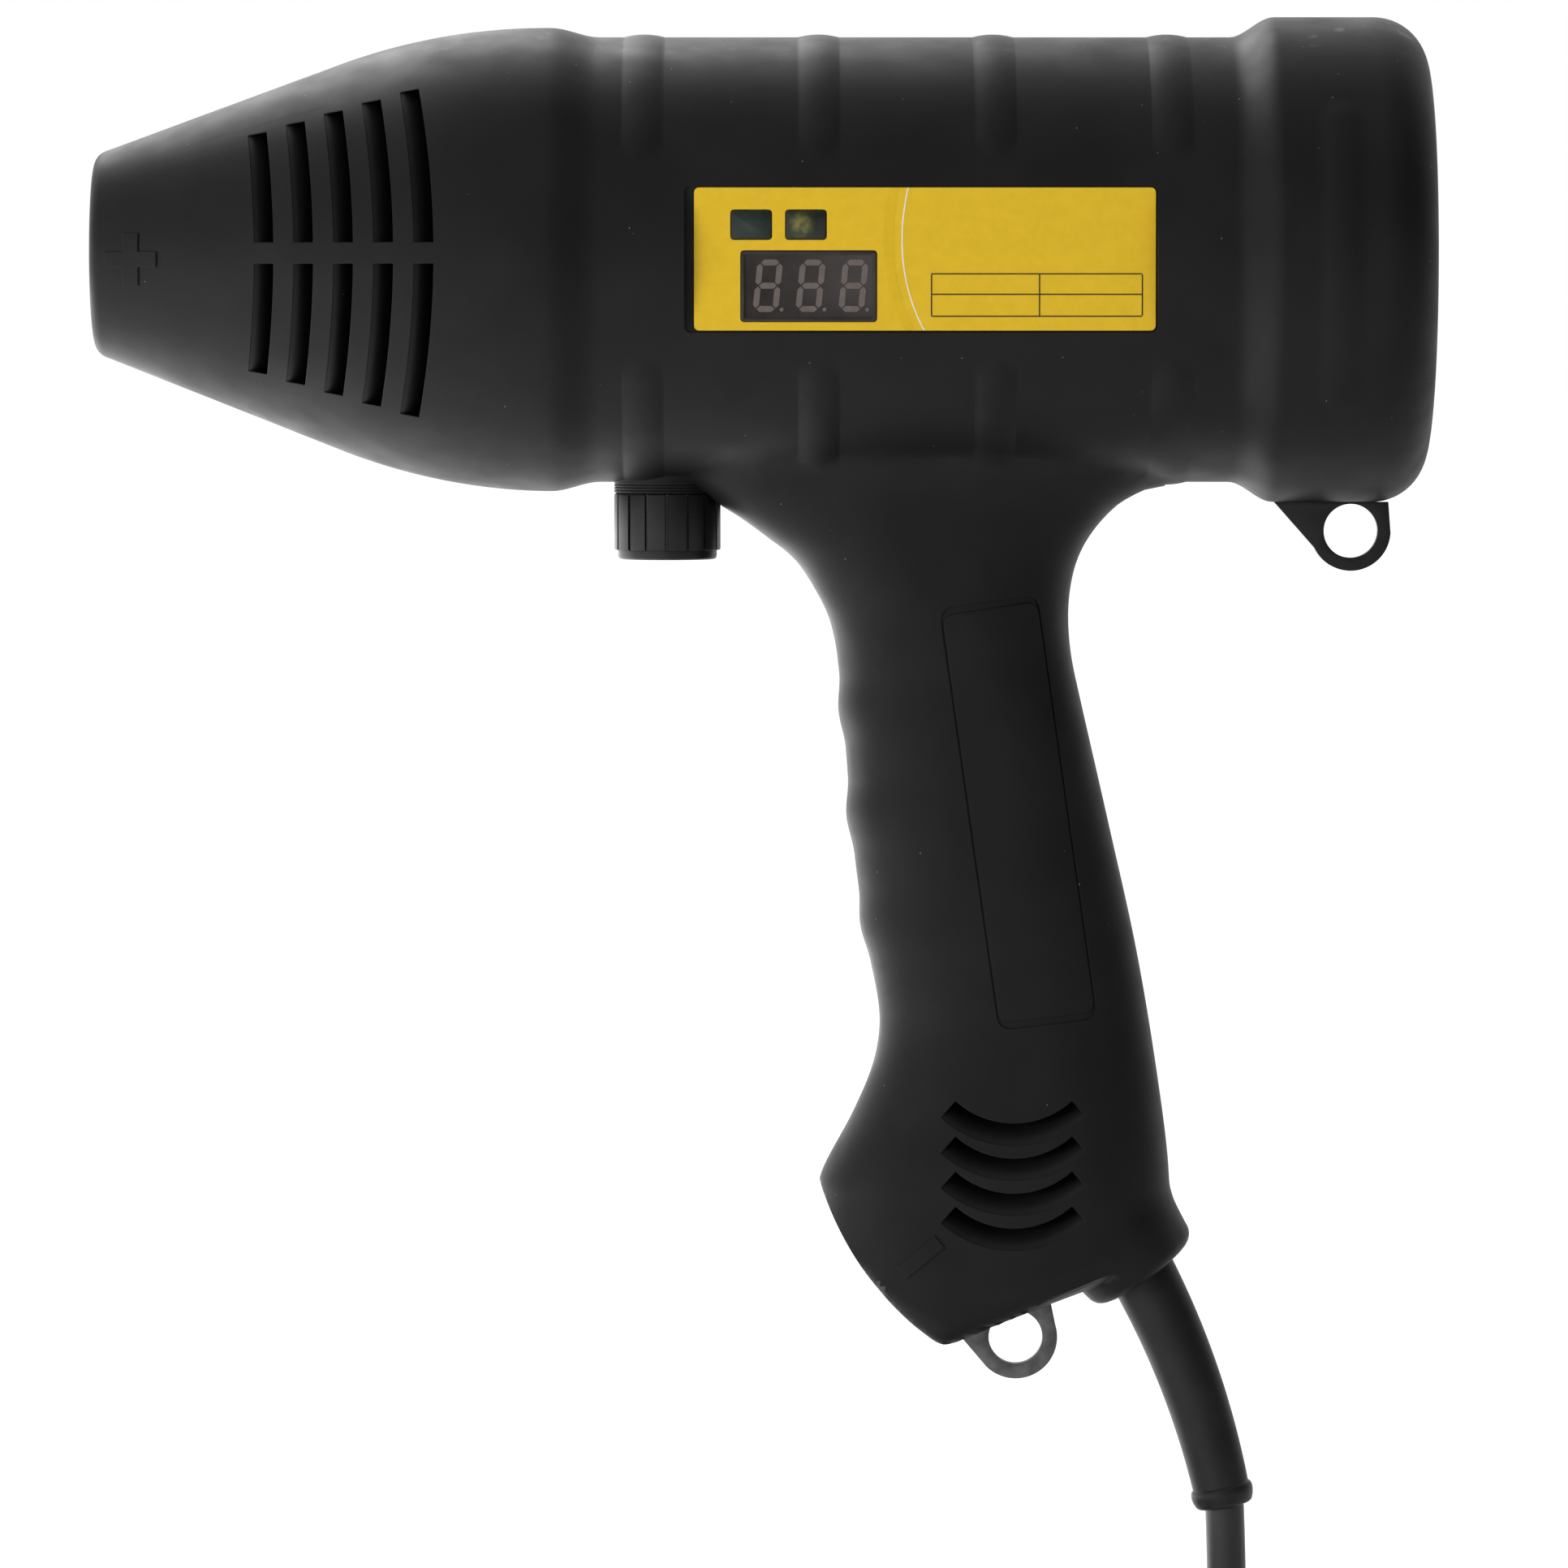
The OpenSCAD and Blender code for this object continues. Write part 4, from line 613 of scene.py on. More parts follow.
# Black ABS from a spark-eroded mould: dull, with a fine grain, drawn coarser than the real 0.1 mm to show
SHELL = MouldedShell("black ABS moulded shell", "#131314", "#18181a", 0.5, grain=0.45, depth=0.012,
                     specular=0.3, edge=0.3)
GRILLE = Finish("black ABS moulded grille", "#1a1a1b", "#202021", 0.5, grain=0.4, specular=0.35)
# Harder black nylon with a satin skin, and fine upright lines on the knob
KNOB = LinedSurface("black nylon satin knob", "#141415", "#1b1b1c", 0.36, grain=0.3, depth=0.02,
                    along=(0.05, 0.05, 1.0))
SOCKET = Finish("black nylon moulded socket", "#19191a", "#202021", 0.42, grain=0.35, specular=0.4)
# Soft black vinyl: smooth, with a silky sheen and faint drawing lines along the cord
SLEEVE = Finish("black vinyl moulded sleeve", "#18181a", "#1f1f21", 0.42, grain=0.6, depth=0.006, mottle=9.0,
                specular=0.42)
SHEATH = LinedSurface("black vinyl extruded sheath", "#2a2a2c", "#343436", 0.36, depth=0.008,
                      along=(1.0, 1.0, 0.15))
PLUG = Finish("black vinyl moulded plug", "#18181a", "#1e1e20", 0.45, specular=0.4)
# Woven nylon: dull, with threads across the band
TIE = LinedSurface("black nylon woven tie", "#131314", "#1c1c1d", 0.75, grain=0.6, depth=0.06,
                   along=(1.0, 0.1, 1.0))
# Screen-printed polyester film: flat bright yellow with a faint print grain
FILM = Finish("yellow polyester printed film", "#e4bc25", "#dfb722", 0.42, grain=0.35, depth=0.004,
              mottle=2.0, specular=0.35)
BAND_INK = Finish("ochre screen print", "#dfb821", "#dab31f", 0.45, grain=0.3, depth=0.003, mottle=2.0,
                  specular=0.3)
WHITE_INK = Finish("white screen print", "#efece0", "#e6e2d4", 0.5, grain=0.3, depth=0.003, mottle=2.0)
BLACK_INK = Finish("black screen print", "#2a2418", "#332c1d", 0.5, grain=0.3, depth=0.003, mottle=2.0)
# Dark glossy windows: cast acrylic, a moulded resin behind it, and lenses with a cloudy lamp behind them
SMOKED = Finish("smoked acrylic display window", "#2b2625", "#332e2c", 0.22, grain=2.0, depth=0.004,
                mottle=4.0)
SEGMENT = Finish("unlit display segment resin", "#6b625e", "#615955", 0.4, grain=0.4, depth=0.004, mottle=1.5)
LENS_A = TintedWindow("green acrylic lens", "#17211d", "#1d2922", 0.25, grain=1.5, depth=0.004, mottle=2.0,
                      spot="#25372c", spot_at=(-48.9, -45.0, 127.7))
LENS_B = TintedWindow("olive acrylic lens", "#1b221c", "#22291d", 0.25, grain=1.5, depth=0.004, mottle=2.0,
                      spot="#86803a", spot_at=(-38.3, -45.0, 127.7))
# Bare and plated metals: the grain is what rolling, turning, sintering or plating leaves
STEEL = Finish("dull stamped steel", "#8b8b8c", "#737475", 0.48, mottle=2.5, metallic=1.0)
COATED = Finish("black coated steel", "#161617", "#1d1d1e", 0.45, grain=0.4, specular=0.4)
ZINC = Finish("zinc plated steel", "#a5a7a6", "#94989a", 0.34, grain=0.4, depth=0.006, mottle=3.0,
              metallic=1.0)
BRASS = LinedSurface("turned brass", "#b3903f", "#a68237", 0.28, grain=0.25, depth=0.008,
                     along=(1.0, 0.05, 0.05), metallic=1.0)
NICKEL = LinedSurface("nickel plated brass pin", "#c2c0ba", "#b3b1aa", 0.22, grain=0.3, depth=0.004,
                      metallic=1.0)
ALUMINIUM = LinedSurface("extruded aluminium", "#b3b6b8", "#a4a7a9", 0.38, grain=0.3, depth=0.006,
                         along=(0.03, 1.0, 1.0), metallic=1.0)
BRONZE = Finish("sintered bronze", "#96703a", "#835f2f", 0.55, grain=0.3, depth=0.02, mottle=2.0,
                metallic=1.0)
TIN = Finish("tinned copper lug", "#bcbebf", "#a9abac", 0.36, grain=0.4, depth=0.006, mottle=4.0,
             metallic=1.0)
POT_METAL = Finish("stamped nickel silver", "#8f8c82", "#7d7a70", 0.4, grain=0.4, depth=0.008, mottle=3.0,
                   metallic=1.0)
# Electrical materials inside: satin solder mask, dull epoxy and ferrite, ridged windings, smooth sleeves
BOARD = CircuitBoard("green solder mask board", "#1e4f30", "#245c38", 0.4, grain=1.0, depth=0.02, mottle=3.0)
EPOXY = Finish("black moulded epoxy", "#161617", "#1c1c1d", 0.55, grain=0.3)
CAN = Finish("dark shrink sleeve", "#1d232c", "#252c36", 0.32, grain=2.0, mottle=8.0)
SHRUNK = Finish("black shrunk sleeve on copper", "#161618", "#1e1e20", 0.5, grain=0.8, mottle=6.0)
FERRITE = Finish("sintered ferrite", "#2c2c2f", "#38383b", 0.62, grain=0.3, depth=0.02, mottle=5.0)
WIRE = WoundWire("enamelled copper wire", "#8f4a22", "#a35a2a", 0.3, grain=0.9, depth=0.3, mottle=3.0,
                 metallic=1.0)
TAPE = WoundWire("amber tape over wire", "#b8862f", "#a87727", 0.38, grain=1.6, depth=0.1, mottle=5.0)
LEAD_BLACK = Finish("black silicone lead", "#17181a", "#202123", 0.55, grain=0.6)
LEAD_BROWN = Finish("brown vinyl lead", "#5f3a21", "#6b4428", 0.42, grain=0.6, depth=0.008)
FAN_PLASTIC = Finish("dark grey moulded fan", "#1f2123", "#27292b", 0.45, grain=0.4, specular=0.4)


def make_piece(name: str, bm: Mesh, finish: Finish, nodes: Iterable[str] = (), body: Body = Body.HOUSING,
               sharp: float = 32.0) -> Piece:
    """Turn a mesh in millimetres into a finished piece of the object.

    Args:
        name: Name of the piece.
        bm: Its mesh, which is freed.
        finish: Its finish.
        nodes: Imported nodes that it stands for.
        body: Body that it rides on.
        sharp: Turn in degrees above which an edge stays crisp.

    Returns:
        The object, which sits at the origin.
    """
    placed(bm, Matrix.Scale(MM, 4))
    for face in bm.faces:
        face.smooth = True
    mesh = stored(bm, name)
    mesh.set_sharp_from_angle(angle=radians(sharp))
    mesh.materials.append(finish.material())
    piece = shown(name, mesh)
    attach(piece, body.value)
    for node in nodes:
        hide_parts(node)
    LOG.info("%s: %d faces, %s", name, len(mesh.polygons), finish.name)
    return piece


# Camera, cord and stage


@dataclass(frozen=True)
class Studio:
    """Camera, soft lamps, pale floor and white surroundings."""

    aim: Triple = (-42.0, 0.0, 7.7)
    distance: float = 2000.0
    elevation: float = 3.0
    lens: float = 213.0
    floor_z: float = -216.6
    floor_size: float = 60000.0
    fill: float = 0.72
    front_glow: Pair = (0.5, 0.03)
    rear_glow: Pair = (1.3, 0.75)
    sky_span: Pair = (-0.55, 0.45)
    rear_from: float = 0.95
    paper: str = "#f2f2f2"
    paper_glow: float = 1.4
    paper_share: float = 0.6
    mirror_span: Pair = (-0.3, 0.5)
    mirror_glow: Pair = (0.4, 1.8)
    fall_span: Pair = (-0.3, 0.1)
    paper_fall: Pair = (2.3, 0.45)
    lamps: tuple[tuple[str, Triple, float, float, bool], ...] = (
        ("left front", (-1500, -1250, -150), 900, 30.0, False),
        ("low left", (-900, -500, -130), 400, 3.0, False),
        ("rear top", (0, 1300, 900), 1200, 2.0, True),
        ("rear left", (-270, 420, 560), 450, 2.0, True),
    )

    def place_camera(self) -> None:
        """Put the camera where the photograph was taken from."""
        lens = bpy.data.cameras.new("camera")
        lens.lens, lens.sensor_width = self.lens, 36.0
        lens.clip_start, lens.clip_end = 0.05, 100.0
        camera = shown("camera", lens)
        tilt = radians(self.elevation)
        back = Vector((0, -cos(tilt), sin(tilt)))
        camera.location = (Vector(self.aim) + back * self.distance) * MM
        camera.rotation_euler = (-back).to_track_quat("-Z", "Y").to_euler()
        bpy.context.scene.camera = camera
        LOG.info("camera %.0f mm away", self.distance)

    def lay_floor(self) -> None:
        """Lay the pale floor, which reads as white and still takes a shadow."""
        bm = bmesh.new()
        bmesh.ops.create_grid(bm, x_segments=1, y_segments=1, size=self.floor_size / 2 * MM)
        bmesh.ops.translate(bm, verts=bm.verts, vec=(0, 0, self.floor_z * MM))
        paper = bpy.data.materials.new("pale studio paper")
        paper.use_nodes = True
        tree = paper.node_tree
        tree.nodes.clear()
        seen = add_node(tree, "LightPath").outputs
        place = add_node(tree, "TexCoord").outputs["Object"]
        way = add_node(tree, "SeparateXYZ", {"Vector": place}).outputs
        mirrored: Socket | Node = seen["Is Glossy Ray"]
        spreads = (("Y", self.mirror_span, self.mirror_glow), ("X", self.fall_span, self.paper_fall))
        for axis, span, glow in spreads:
            share = add_node(tree, "MapRange", {"Value": way[axis], "From Min": span[0], "From Max": span[1],
                                                "To Min": glow[0], "To Max": glow[1]})
            mirrored = add_node(tree, "Math", {0: mirrored, 1: share}, operation="MULTIPLY")
        direct = add_node(tree, "Math", {0: seen["Is Camera Ray"], 1: self.paper_glow}, operation="MULTIPLY")
        shine = add_node(tree, "Math", {0: mirrored, 1: direct}, operation="MAXIMUM")
        glowing = add_node(tree, "Emission", {"Color": linear(WHITE), "Strength": shine})
        matte = add_node(tree, "BsdfDiffuse", {"Color": linear(self.paper)})
        mixed = add_node(tree, "MixShader", {0: self.paper_share, 1: matte, 2: glowing})
        add_node(tree, "OutputMaterial", {"Surface": mixed})
        mesh = stored(bm, "floor")
        mesh.materials.append(paper)
        shown("floor", mesh)

    def light(self) -> None:
        """Set up the white surroundings and the lamps."""
        scene = bpy.context.scene
        scene.view_settings.view_transform = "Standard"
        world = bpy.data.worlds.new("white studio")
        world.use_nodes = True
        scene.world = world
        tree = world.node_tree
        tree.nodes.clear()
        path = add_node(tree, "LightPath").outputs
        place = add_node(tree, "TexCoord").outputs["Generated"]
        way = add_node(tree, "SeparateXYZ", {"Vector": place}).outputs
        low, high = self.sky_span
        ahead, behind = (add_node(tree, "MapRange", {"Value": way["X"], "From Min": low, "From Max": high,
                                                     "To Min": left, "To Max": right})
                         for left, right in (self.front_glow, self.rear_glow))
        turned = add_node(tree, "MapRange", {"Value": way["Y"], "From Min": 0.0, "From Max": self.rear_from})
        glossy = add_node(tree, "Mix", {0: turned, 2: ahead, 3: behind})
        soft = add_node(tree, "Mix", {0: path["Is Glossy Ray"], 2: self.fill, 3: glossy})
        seen = add_node(tree, "Math", {0: path["Is Camera Ray"], 1: path["Is Transmission Ray"]},
                        operation="MAXIMUM")
        strength = add_node(tree, "Mix", {0: seen, 2: soft, 3: 1.0})
        sky = add_node(tree, "Background", {"Color": linear(WHITE), "Strength": strength})
        add_node(tree, "OutputWorld", {"Surface": sky})
        for name, at, size, power, mirrored in self.lamps:
            lamp = bpy.data.lights.new(name, "AREA")
            lamp.energy, lamp.size = power, size * MM
            holder = shown(name, lamp)
            holder.location = Vector(at) * MM
            holder.rotation_euler = (Vector(self.aim) - Vector(at)).to_track_quat("-Z", "Y").to_euler()
            holder.visible_glossy = mirrored


@dataclass(frozen=True)
class MainsCord:
    """Mains cord with its bend relief, tied coil and plug."""

    diameter: float = 8.4
    gland_at: Triple = (35.6, 0.0, -98.4)
    gland_lean: float = 36.0
    sleeve_len: float = 53.4
    sleeve_d: float = 14.4
    sleeve_end_d: float = 12.0
    sleeve_roots: Pair = (6.5, 2.6)
    lip_len: float = 4.4
    collar_d: float = 13.9
    start_lean: float = 28.0
    end_lean: float = 11.0
    way_out: Triple = (0.3, 0, -9)
    way_down: tuple[Triple, ...] = (
        (53.8, 0, -168), (53.2, 1, -179), (50.4, 5, -190), (45, 13, -199.5), (37.2, 24, -206.5),
        (27, 34.5, -210))
    way_in: tuple[Pair, ...] = ((18, -5.5), (8.5, -1.5), (0, 0))
    floor_z: float = -216.5
    coil_at: Pair = (-20.0, -6.0)
    coil_mid_r: float = 44.4
    coil_gap: float = 0.6
    turns: float = 6.5
    layers: int = 4
    start_a: float = 90.0
    rings: int = 48
    tie_t: float = 1.2
    tie_w: float = 8.0
    tie_a: float = 180.0
    tie_under: float = 0.1
    tie_play: Pair = (0.6, 0.3)
    tie_round: float = 4.0
    tail_len: float = 58.0
    tail_steps: int = 16
    plug_r: float = 18.5
    neck_len: float = 20.0
    neck_rings: int = 5
    ring_pitch: float = 3.4
    plug_len: float = 36.0
    pin_r: float = 2.4
    pin_root: Pair = (2.0, 8.0)
    pin_len: float = 19.0
    pin_pitch: float = 19.0

    @property
    def step(self) -> float:
        """Distance between the middles of neighbouring turns."""
        return self.diameter + self.coil_gap

    @property
    def layer_turns(self) -> float:
        """Turns in one layer of the coil."""
        return self.turns / self.layers

    @property
    def coil_z(self) -> float:
        """Height of the lowest layer's middle."""
        return self.floor_z + self.tie_t + self.tie_under + self.diameter / 2

    @property
    def end_a(self) -> float:
        """Angle at which the coil ends, in degrees."""
        return self.start_a + 360 * self.turns

    @property
    def end_dir(self) -> Vector:
        """Direction in which the cord leaves the coil."""
        a = radians(self.end_a)
        return Vector((-sin(a), cos(a), 0))

    def sleeve_point(self, s: float) -> tuple[Vector, Vector]:
        """Place and direction of the bend relief's middle.

        Args:
            s: Share of its length, from 0 at the handle to 1.

        Returns:
            The point and the unit direction.
        """
        turn = radians(self.start_lean - self.end_lean)
        a0 = radians(self.start_lean)
        a = a0 - turn * s
        bend = self.sleeve_len / turn
        move = bend * Vector((cos(a) - cos(a0), 0, sin(a) - sin(a0)))
        return Vector(self.gland_at) + move, Vector((sin(a), 0, -cos(a)))

    def coil_point(self, u: float) -> Vector:
        """Point on the coil, u layers along it.

        Args:
            u: Layers from its start.

        Returns:
            The point.
        """
        half = 0.25 / self.layer_turns
        layer = sum(ease(clamp((u - k + half) / (2 * half), 0, 1)) for k in range(1, self.layers))
        fro = u % 2 if u % 2 < 1 else 2 - u % 2
        r = self.coil_mid_r + self.layer_turns * self.step * (0.5 - fro)
        a = radians(self.start_a + 360 * self.turns * u / self.layers)
        return Vector((self.coil_at[0] + r * cos(a), self.coil_at[1] + r * sin(a),
                       self.coil_z + self.step * layer))

    def coil(self) -> list[Vector]:
        """The wound points with a straight end of one diameter at each side.

        Returns:
            The points in order.
        """
        count = round(self.turns * self.rings)
        wound = [self.coil_point(self.layers * i / count) for i in range(count + 1)]
        return [wound[0] + Vector((self.diameter, 0, 0)), *wound, wound[-1] + self.end_dir * self.diameter]

    def drop(self, start: Vector) -> list[Vector]:
        """Smooth route from the bend relief down to the coil.

        Args:
            start: First point of the coil.

        Returns:
            Points on the route.
        """
        end = self.sleeve_point(1.0)[0]
        near = [start + Vector((self.diameter + x, y, 0)) for x, y in self.way_in]
        route = [end, end + Vector(self.way_out), *map(Vector, self.way_down), *near, start]
        done: list[Vector] = []
        for i in range(len(route) - 1):
            a, b, c, d = (route[clamp(i + k, 0, len(route) - 1)] for k in (-1, 0, 1, 2))
            for t in (0, 0.25, 0.5, 0.75):
                bend = 2 * a - 5 * b + 4 * c - d + t * (3 * (b - c) + d - a)
                done.append(b + 0.5 * t * (c - a + t * bend))
        return done

    def tail(self, start: Vector) -> list[Vector]:
        """Route from the coil down to the plug, which lies on the floor.

        Args:
            start: Last point of the coil.

        Returns:
            Points on the route.
        """
        fall, steps = start.z - self.floor_z - self.plug_r, self.tail_steps
        return [start + self.end_dir * self.tail_len * k / steps - Vector((0, 0, fall * ease(k / steps)))
                for k in range(1, steps + 1)]

    def run_cord(self, pieces: list[Piece]) -> Piece:
        """Args:
            pieces: The plug, its pins and the tie; not used.

        Returns:
            The cord.
        """
        coil = self.coil()
        path = [*self.drop(coil[0]), *coil, *self.tail(coil[-1])]
        curve = bpy.data.curves.new("mains_cord", "CURVE")
        curve.dimensions, curve.bevel_depth, curve.bevel_resolution = "3D", self.diameter / 2 * MM, 6
        curve.use_fill_caps = True
        spline = curve.splines.new("POLY")
        spline.points.add(len(path) - 1)
        for point, at in zip(spline.points, path):
            point.co = (*(at * MM), 1.0)
        spline.use_smooth = True
        cord = shown("mains_cord", curve)
        curve.materials.append(SHEATH.material())
        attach(cord, Body.HOUSING.value)
        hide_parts("power_cord", "cord_coil", "cord_tail")
        return cord

    def bend_relief(self) -> Piece:
        """Loft the tapered sleeve with the rolled lip at its end.

        Returns:
            The sleeve.
        """
        lean = radians(self.gland_lean)
        lead = Vector((sin(lean), 0, -cos(lean)))
        wide, narrow = self.sleeve_d, self.sleeve_end_d
        rows = [(Vector(self.gland_at) - back * lead, lead, wide / 2) for back in self.sleeve_roots]
        lip = self.lip_len / self.sleeve_len
        for k in range(41):
            s = k / 40 * (1 - lip)
            rows.append((*self.sleeve_point(s), (wide + (narrow - wide) * s) / 2))
        bulge = (self.collar_d - narrow) / 2
        for k in range(1, 17):
            t = k / 16
            swell = bulge * sqrt(max(0.0, 1 - (2 * t - 1) ** 2))
            rows.append((*self.sleeve_point(1 - lip * (1 - t)), narrow / 2 + swell - 0.5 * ease(t)))
        for shrink in (0.8, 1.3):
            rows.append((*self.sleeve_point(1.0), narrow / 2 - shrink))
        across = Vector((0, 1, 0))
        rings = [[at + r * (cos(a) * across + sin(a) * across.cross(way)) for a in full_turn(64)]
                 for at, way, r in rows]
        return make_piece("bend_relief", lofted(rings), SLEEVE, ["strain_relief"], sharp=50)

    @property
    def plug_frame(self) -> Matrix:
        """Place of the plug, whose own Z runs from the cord to the pins.

        Returns:
            The matrix that moves it there.
        """
        at = self.tail(self.coil()[-1])[-1]
        return (Matrix.Translation(at) @ Matrix.Rotation(radians(self.end_a + 90), 4, "Z")
                @ Matrix.Rotation(radians(90), 4, "Y"))

    def plug(self) -> list[Piece]:
        """Mould the plug with its ringed neck, and set in its pins.

        Returns:
            The plug and its pins.
        """
        low, top, r = self.neck_len, self.neck_len + self.plug_len, self.plug_r
        neck: Outline = [(0.0, 0.0), (5.4, 0.0)]
        for k in range(self.neck_rings):
            z, more = 2.0 + k * self.ring_pitch, 0.4 * k / 2
            neck += [(5.5 + more, z), (5.0 + more, z + 0.4), (5.0 + more, z + 1.4), (5.6 + more, z + 1.8)]
        shell = [(7.4, low), (12.6, low + 3), (13.6, low + 19), (r, low + 25), (r, top), (0.0, top)]
        body = spun(filleted(neck, 0.25, 2, closed=False) + filleted(shell, 1.6, 6, closed=False), 72)
        grooves = [placed(rod(1.1, (15.0, 0, low + 4), (14.4, 0, low + 18), 16),
                          Matrix.Rotation(radians(a), 4, "Z")) for a in range(0, 360, 20)]
        body = carve(body, Op.CUT, merged(*grooves))
        (root_r, root), pin_r, end = self.pin_root, self.pin_r, top + self.pin_len
        tip = filleted([(pin_r, top + 1), (pin_r, end), (0.0, end)], 1.2, 6, closed=False)
        profile = [(0.0, top - root), (root_r, top - root), (root_r, top), (pin_r, top), *tip]
        aside = [Matrix.Translation((0, side * self.pin_pitch / 2, 0)) for side in (-1, 1)]
        pins = [placed(spun(profile, 32), self.plug_frame @ move) for move in aside]
        return [make_piece("plug", placed(body, self.plug_frame), PLUG, ["plug_body"]),
                make_piece("plug_contacts", merged(*pins), NICKEL, ["plug_pins"])]

    def tie(self) -> Piece:
        """Wrap the tie round the bundle of turns.

        Returns:
            The tie.
        """
        wide = self.layer_turns * self.step + self.diameter + self.tie_play[0]
        high = (self.layers - 1) * self.step + self.diameter + self.tie_play[1]
        middle = (0.0, high / 2)
        inner = filleted(box_outline(middle, wide, high), self.tie_round)
        outer = box_outline(middle, wide + 2 * self.tie_t, high + 2 * self.tie_t)
        outer = filleted(outer, self.tie_round + 1)
        half = self.tie_w / 2
        band = carve(prism(outer, -half, half), Op.CUT, prism(inner, -half - 1, half + 1))
        foot = Matrix.Translation((*self.coil_at, self.coil_z - self.diameter / 2 - self.tie_under))
        turn = Matrix.Rotation(radians(self.tie_a), 4, "Z")
        frame_at = foot @ turn @ Matrix.Translation((self.coil_mid_r, 0, 0))
        return make_piece("coil_tie", placed(bevelled(band, 0.3), frame_at), TIE, ["cord_tie"])

    def build(self) -> None:
        """Make the cord and everything on it."""
        self.run_cord([*self.plug(), self.tie()])
        self.bend_relief()


# Housing


@dataclass(frozen=True)
class BarrelShape:
    """Outline of the barrel, nose and rear cap."""

    radius: float = 47.7
    length: float = 135.0
    back: float = 53.5
    axis_h: float = 120.5
    wall: float = 2.6
    nose_len: float = 108.5
    tip_r: float = 21.2
    crest_r: float = 49.7
    arc_r: float = 127.0
    step_len: float = 10.5
    edge_r: float = 3.5
    front_wall: float = 6.0
    cap_r: float = 52.0
    cap_len: float = 42.4
    ramp_len: float = 9.5
    cap_edge_r: float = 11.5
    rib_first: float = 9.6
    rib_pitch: float = 37.3
    rib_w: float = 8.8
    rib_h: float = 0.6
    rib_reach: float = 63.0
    band_at: float = 16.4
    band_w: float = 8.5
    band_reach: float = 39.0
    band_h: float = 0.46
    nose_lift: float = 1.25
    steps: int = 192

    @property
    def front(self) -> float:
        """Place where the straight barrel starts."""
        return self.back - self.length

    @property
    def tip_x(self) -> float:
        """Place of the nose's front face."""
        return self.front - self.nose_len

    @property
    def crest_x(self) -> float:
        """Place of the nose's crest."""
        return self.front - self.step_len

    @property
    def rear_x(self) -> float:
        """Place of the rear face."""
        return self.back + self.cap_len

    @property
    def under_z(self) -> float:
        """Height of the barrel's underside."""
        return self.axis_h - self.radius

    @property
    def cone_a(self) -> float:
        """Slope of the nose cone in radians."""
        along, up = self.crest_x - self.tip_x, self.crest_r - self.arc_r - self.tip_r
        return atan2(up, along) + asin(self.arc_r / hypot(along, up))

    @property
    def on_axis(self) -> Matrix:
        """Turns a shape made along Z so that it lies along the barrel."""
        return Matrix.Translation((0, 0, self.axis_h)) @ Matrix.Rotation(radians(90), 4, "Y")

    def cone_r(self, x: float) -> float:
        """Radius of the nose cone at a place."""
        return self.tip_r + (x - self.tip_x) * tan(self.cone_a)

    def nose_in_r(self, x: float) -> float:
        """Radius of the room inside the nose at a place.

        Args:
            x: The place.

        Returns:
            The radius.
        """
        arc = self.crest_r - self.arc_r + sqrt(self.arc_r ** 2 - (x - self.crest_x) ** 2)
        on_cone = x < self.crest_x - self.arc_r * sin(self.cone_a)
        return (self.cone_r(x) if on_cone else arc) - self.wall / cos(self.cone_a)

    def side_line(self, inset: float) -> Outline:
        """Radius and place from the cone's end to the rear edge.

        Args:
            inset: How far the line lies inside the surface.

        Returns:
            The points, close enough together for the ribs.
        """
        line: Outline = []
        for i in range(25):
            a, r = pi / 2 + self.cone_a * (1 - i / 24), self.arc_r - inset
            line.append((self.crest_r - self.arc_r + r * sin(a), self.crest_x + r * cos(a)))
        step, ramp = self.radius - self.crest_r, self.cap_r - self.radius
        line += [(self.crest_r - inset + step * ease(i / 12), self.crest_x + self.step_len * i / 12)
                 for i in range(1, 13)]
        line += [(self.radius - inset, self.front + self.length * i / 122) for i in range(1, 123)]
        line += [(self.radius - inset + ramp * ease(i / 12), self.back + self.ramp_len * i / 12)
                 for i in range(1, 13)]
        straight = self.rear_x - self.cap_edge_r - self.back - self.ramp_len
        line += [(self.cap_r - inset, self.back + self.ramp_len + straight * i / 20) for i in range(1, 20)]
        for i in range(15):
            a, r = pi / 2 * (1 - i / 14), self.cap_edge_r - inset
            line.append((self.cap_r - self.cap_edge_r + r * sin(a),
                         self.rear_x - self.cap_edge_r + r * cos(a)))
        return line

    def thumb_band(self, x: float, turn: float) -> float:
        """Height of the bands on both sides of the rear cap.

        Args:
            x: Place along the barrel.
            turn: Angle from the top in radians, from 0 to pi.

        Returns:
            How far the surface stands out there.
        """
        end = radians(self.band_reach) - self.band_w / 2 / self.cap_r
        beyond = max(0.0, abs(pi / 2 - turn) - end) * self.cap_r
        away = hypot(x - self.rear_x + self.band_at + self.band_w / 2, beyond) / (self.band_w / 2)
        return self.band_h * max(0.0, 1 - away * away)

    def lift(self, x: float) -> float:
        """How far the nose rises above the axis at a place."""
        return self.nose_lift * clamp((self.crest_x - x) / (self.crest_x - self.tip_x), 0, 1) ** 1.2

    def nose_y(self, x: float, z: float) -> float:
        """How far the nose stands out sideways at a place and height."""
        r = self.nose_in_r(x) + self.wall / cos(self.cone_a)
        return sqrt(max(1.0, r * r - (z - self.axis_h - self.lift(x)) ** 2))

    def rib_places(self) -> list[float]:
        """Middle of each rib along the barrel."""
        return [self.front + self.rib_first + i * self.rib_pitch for i in range(4)]

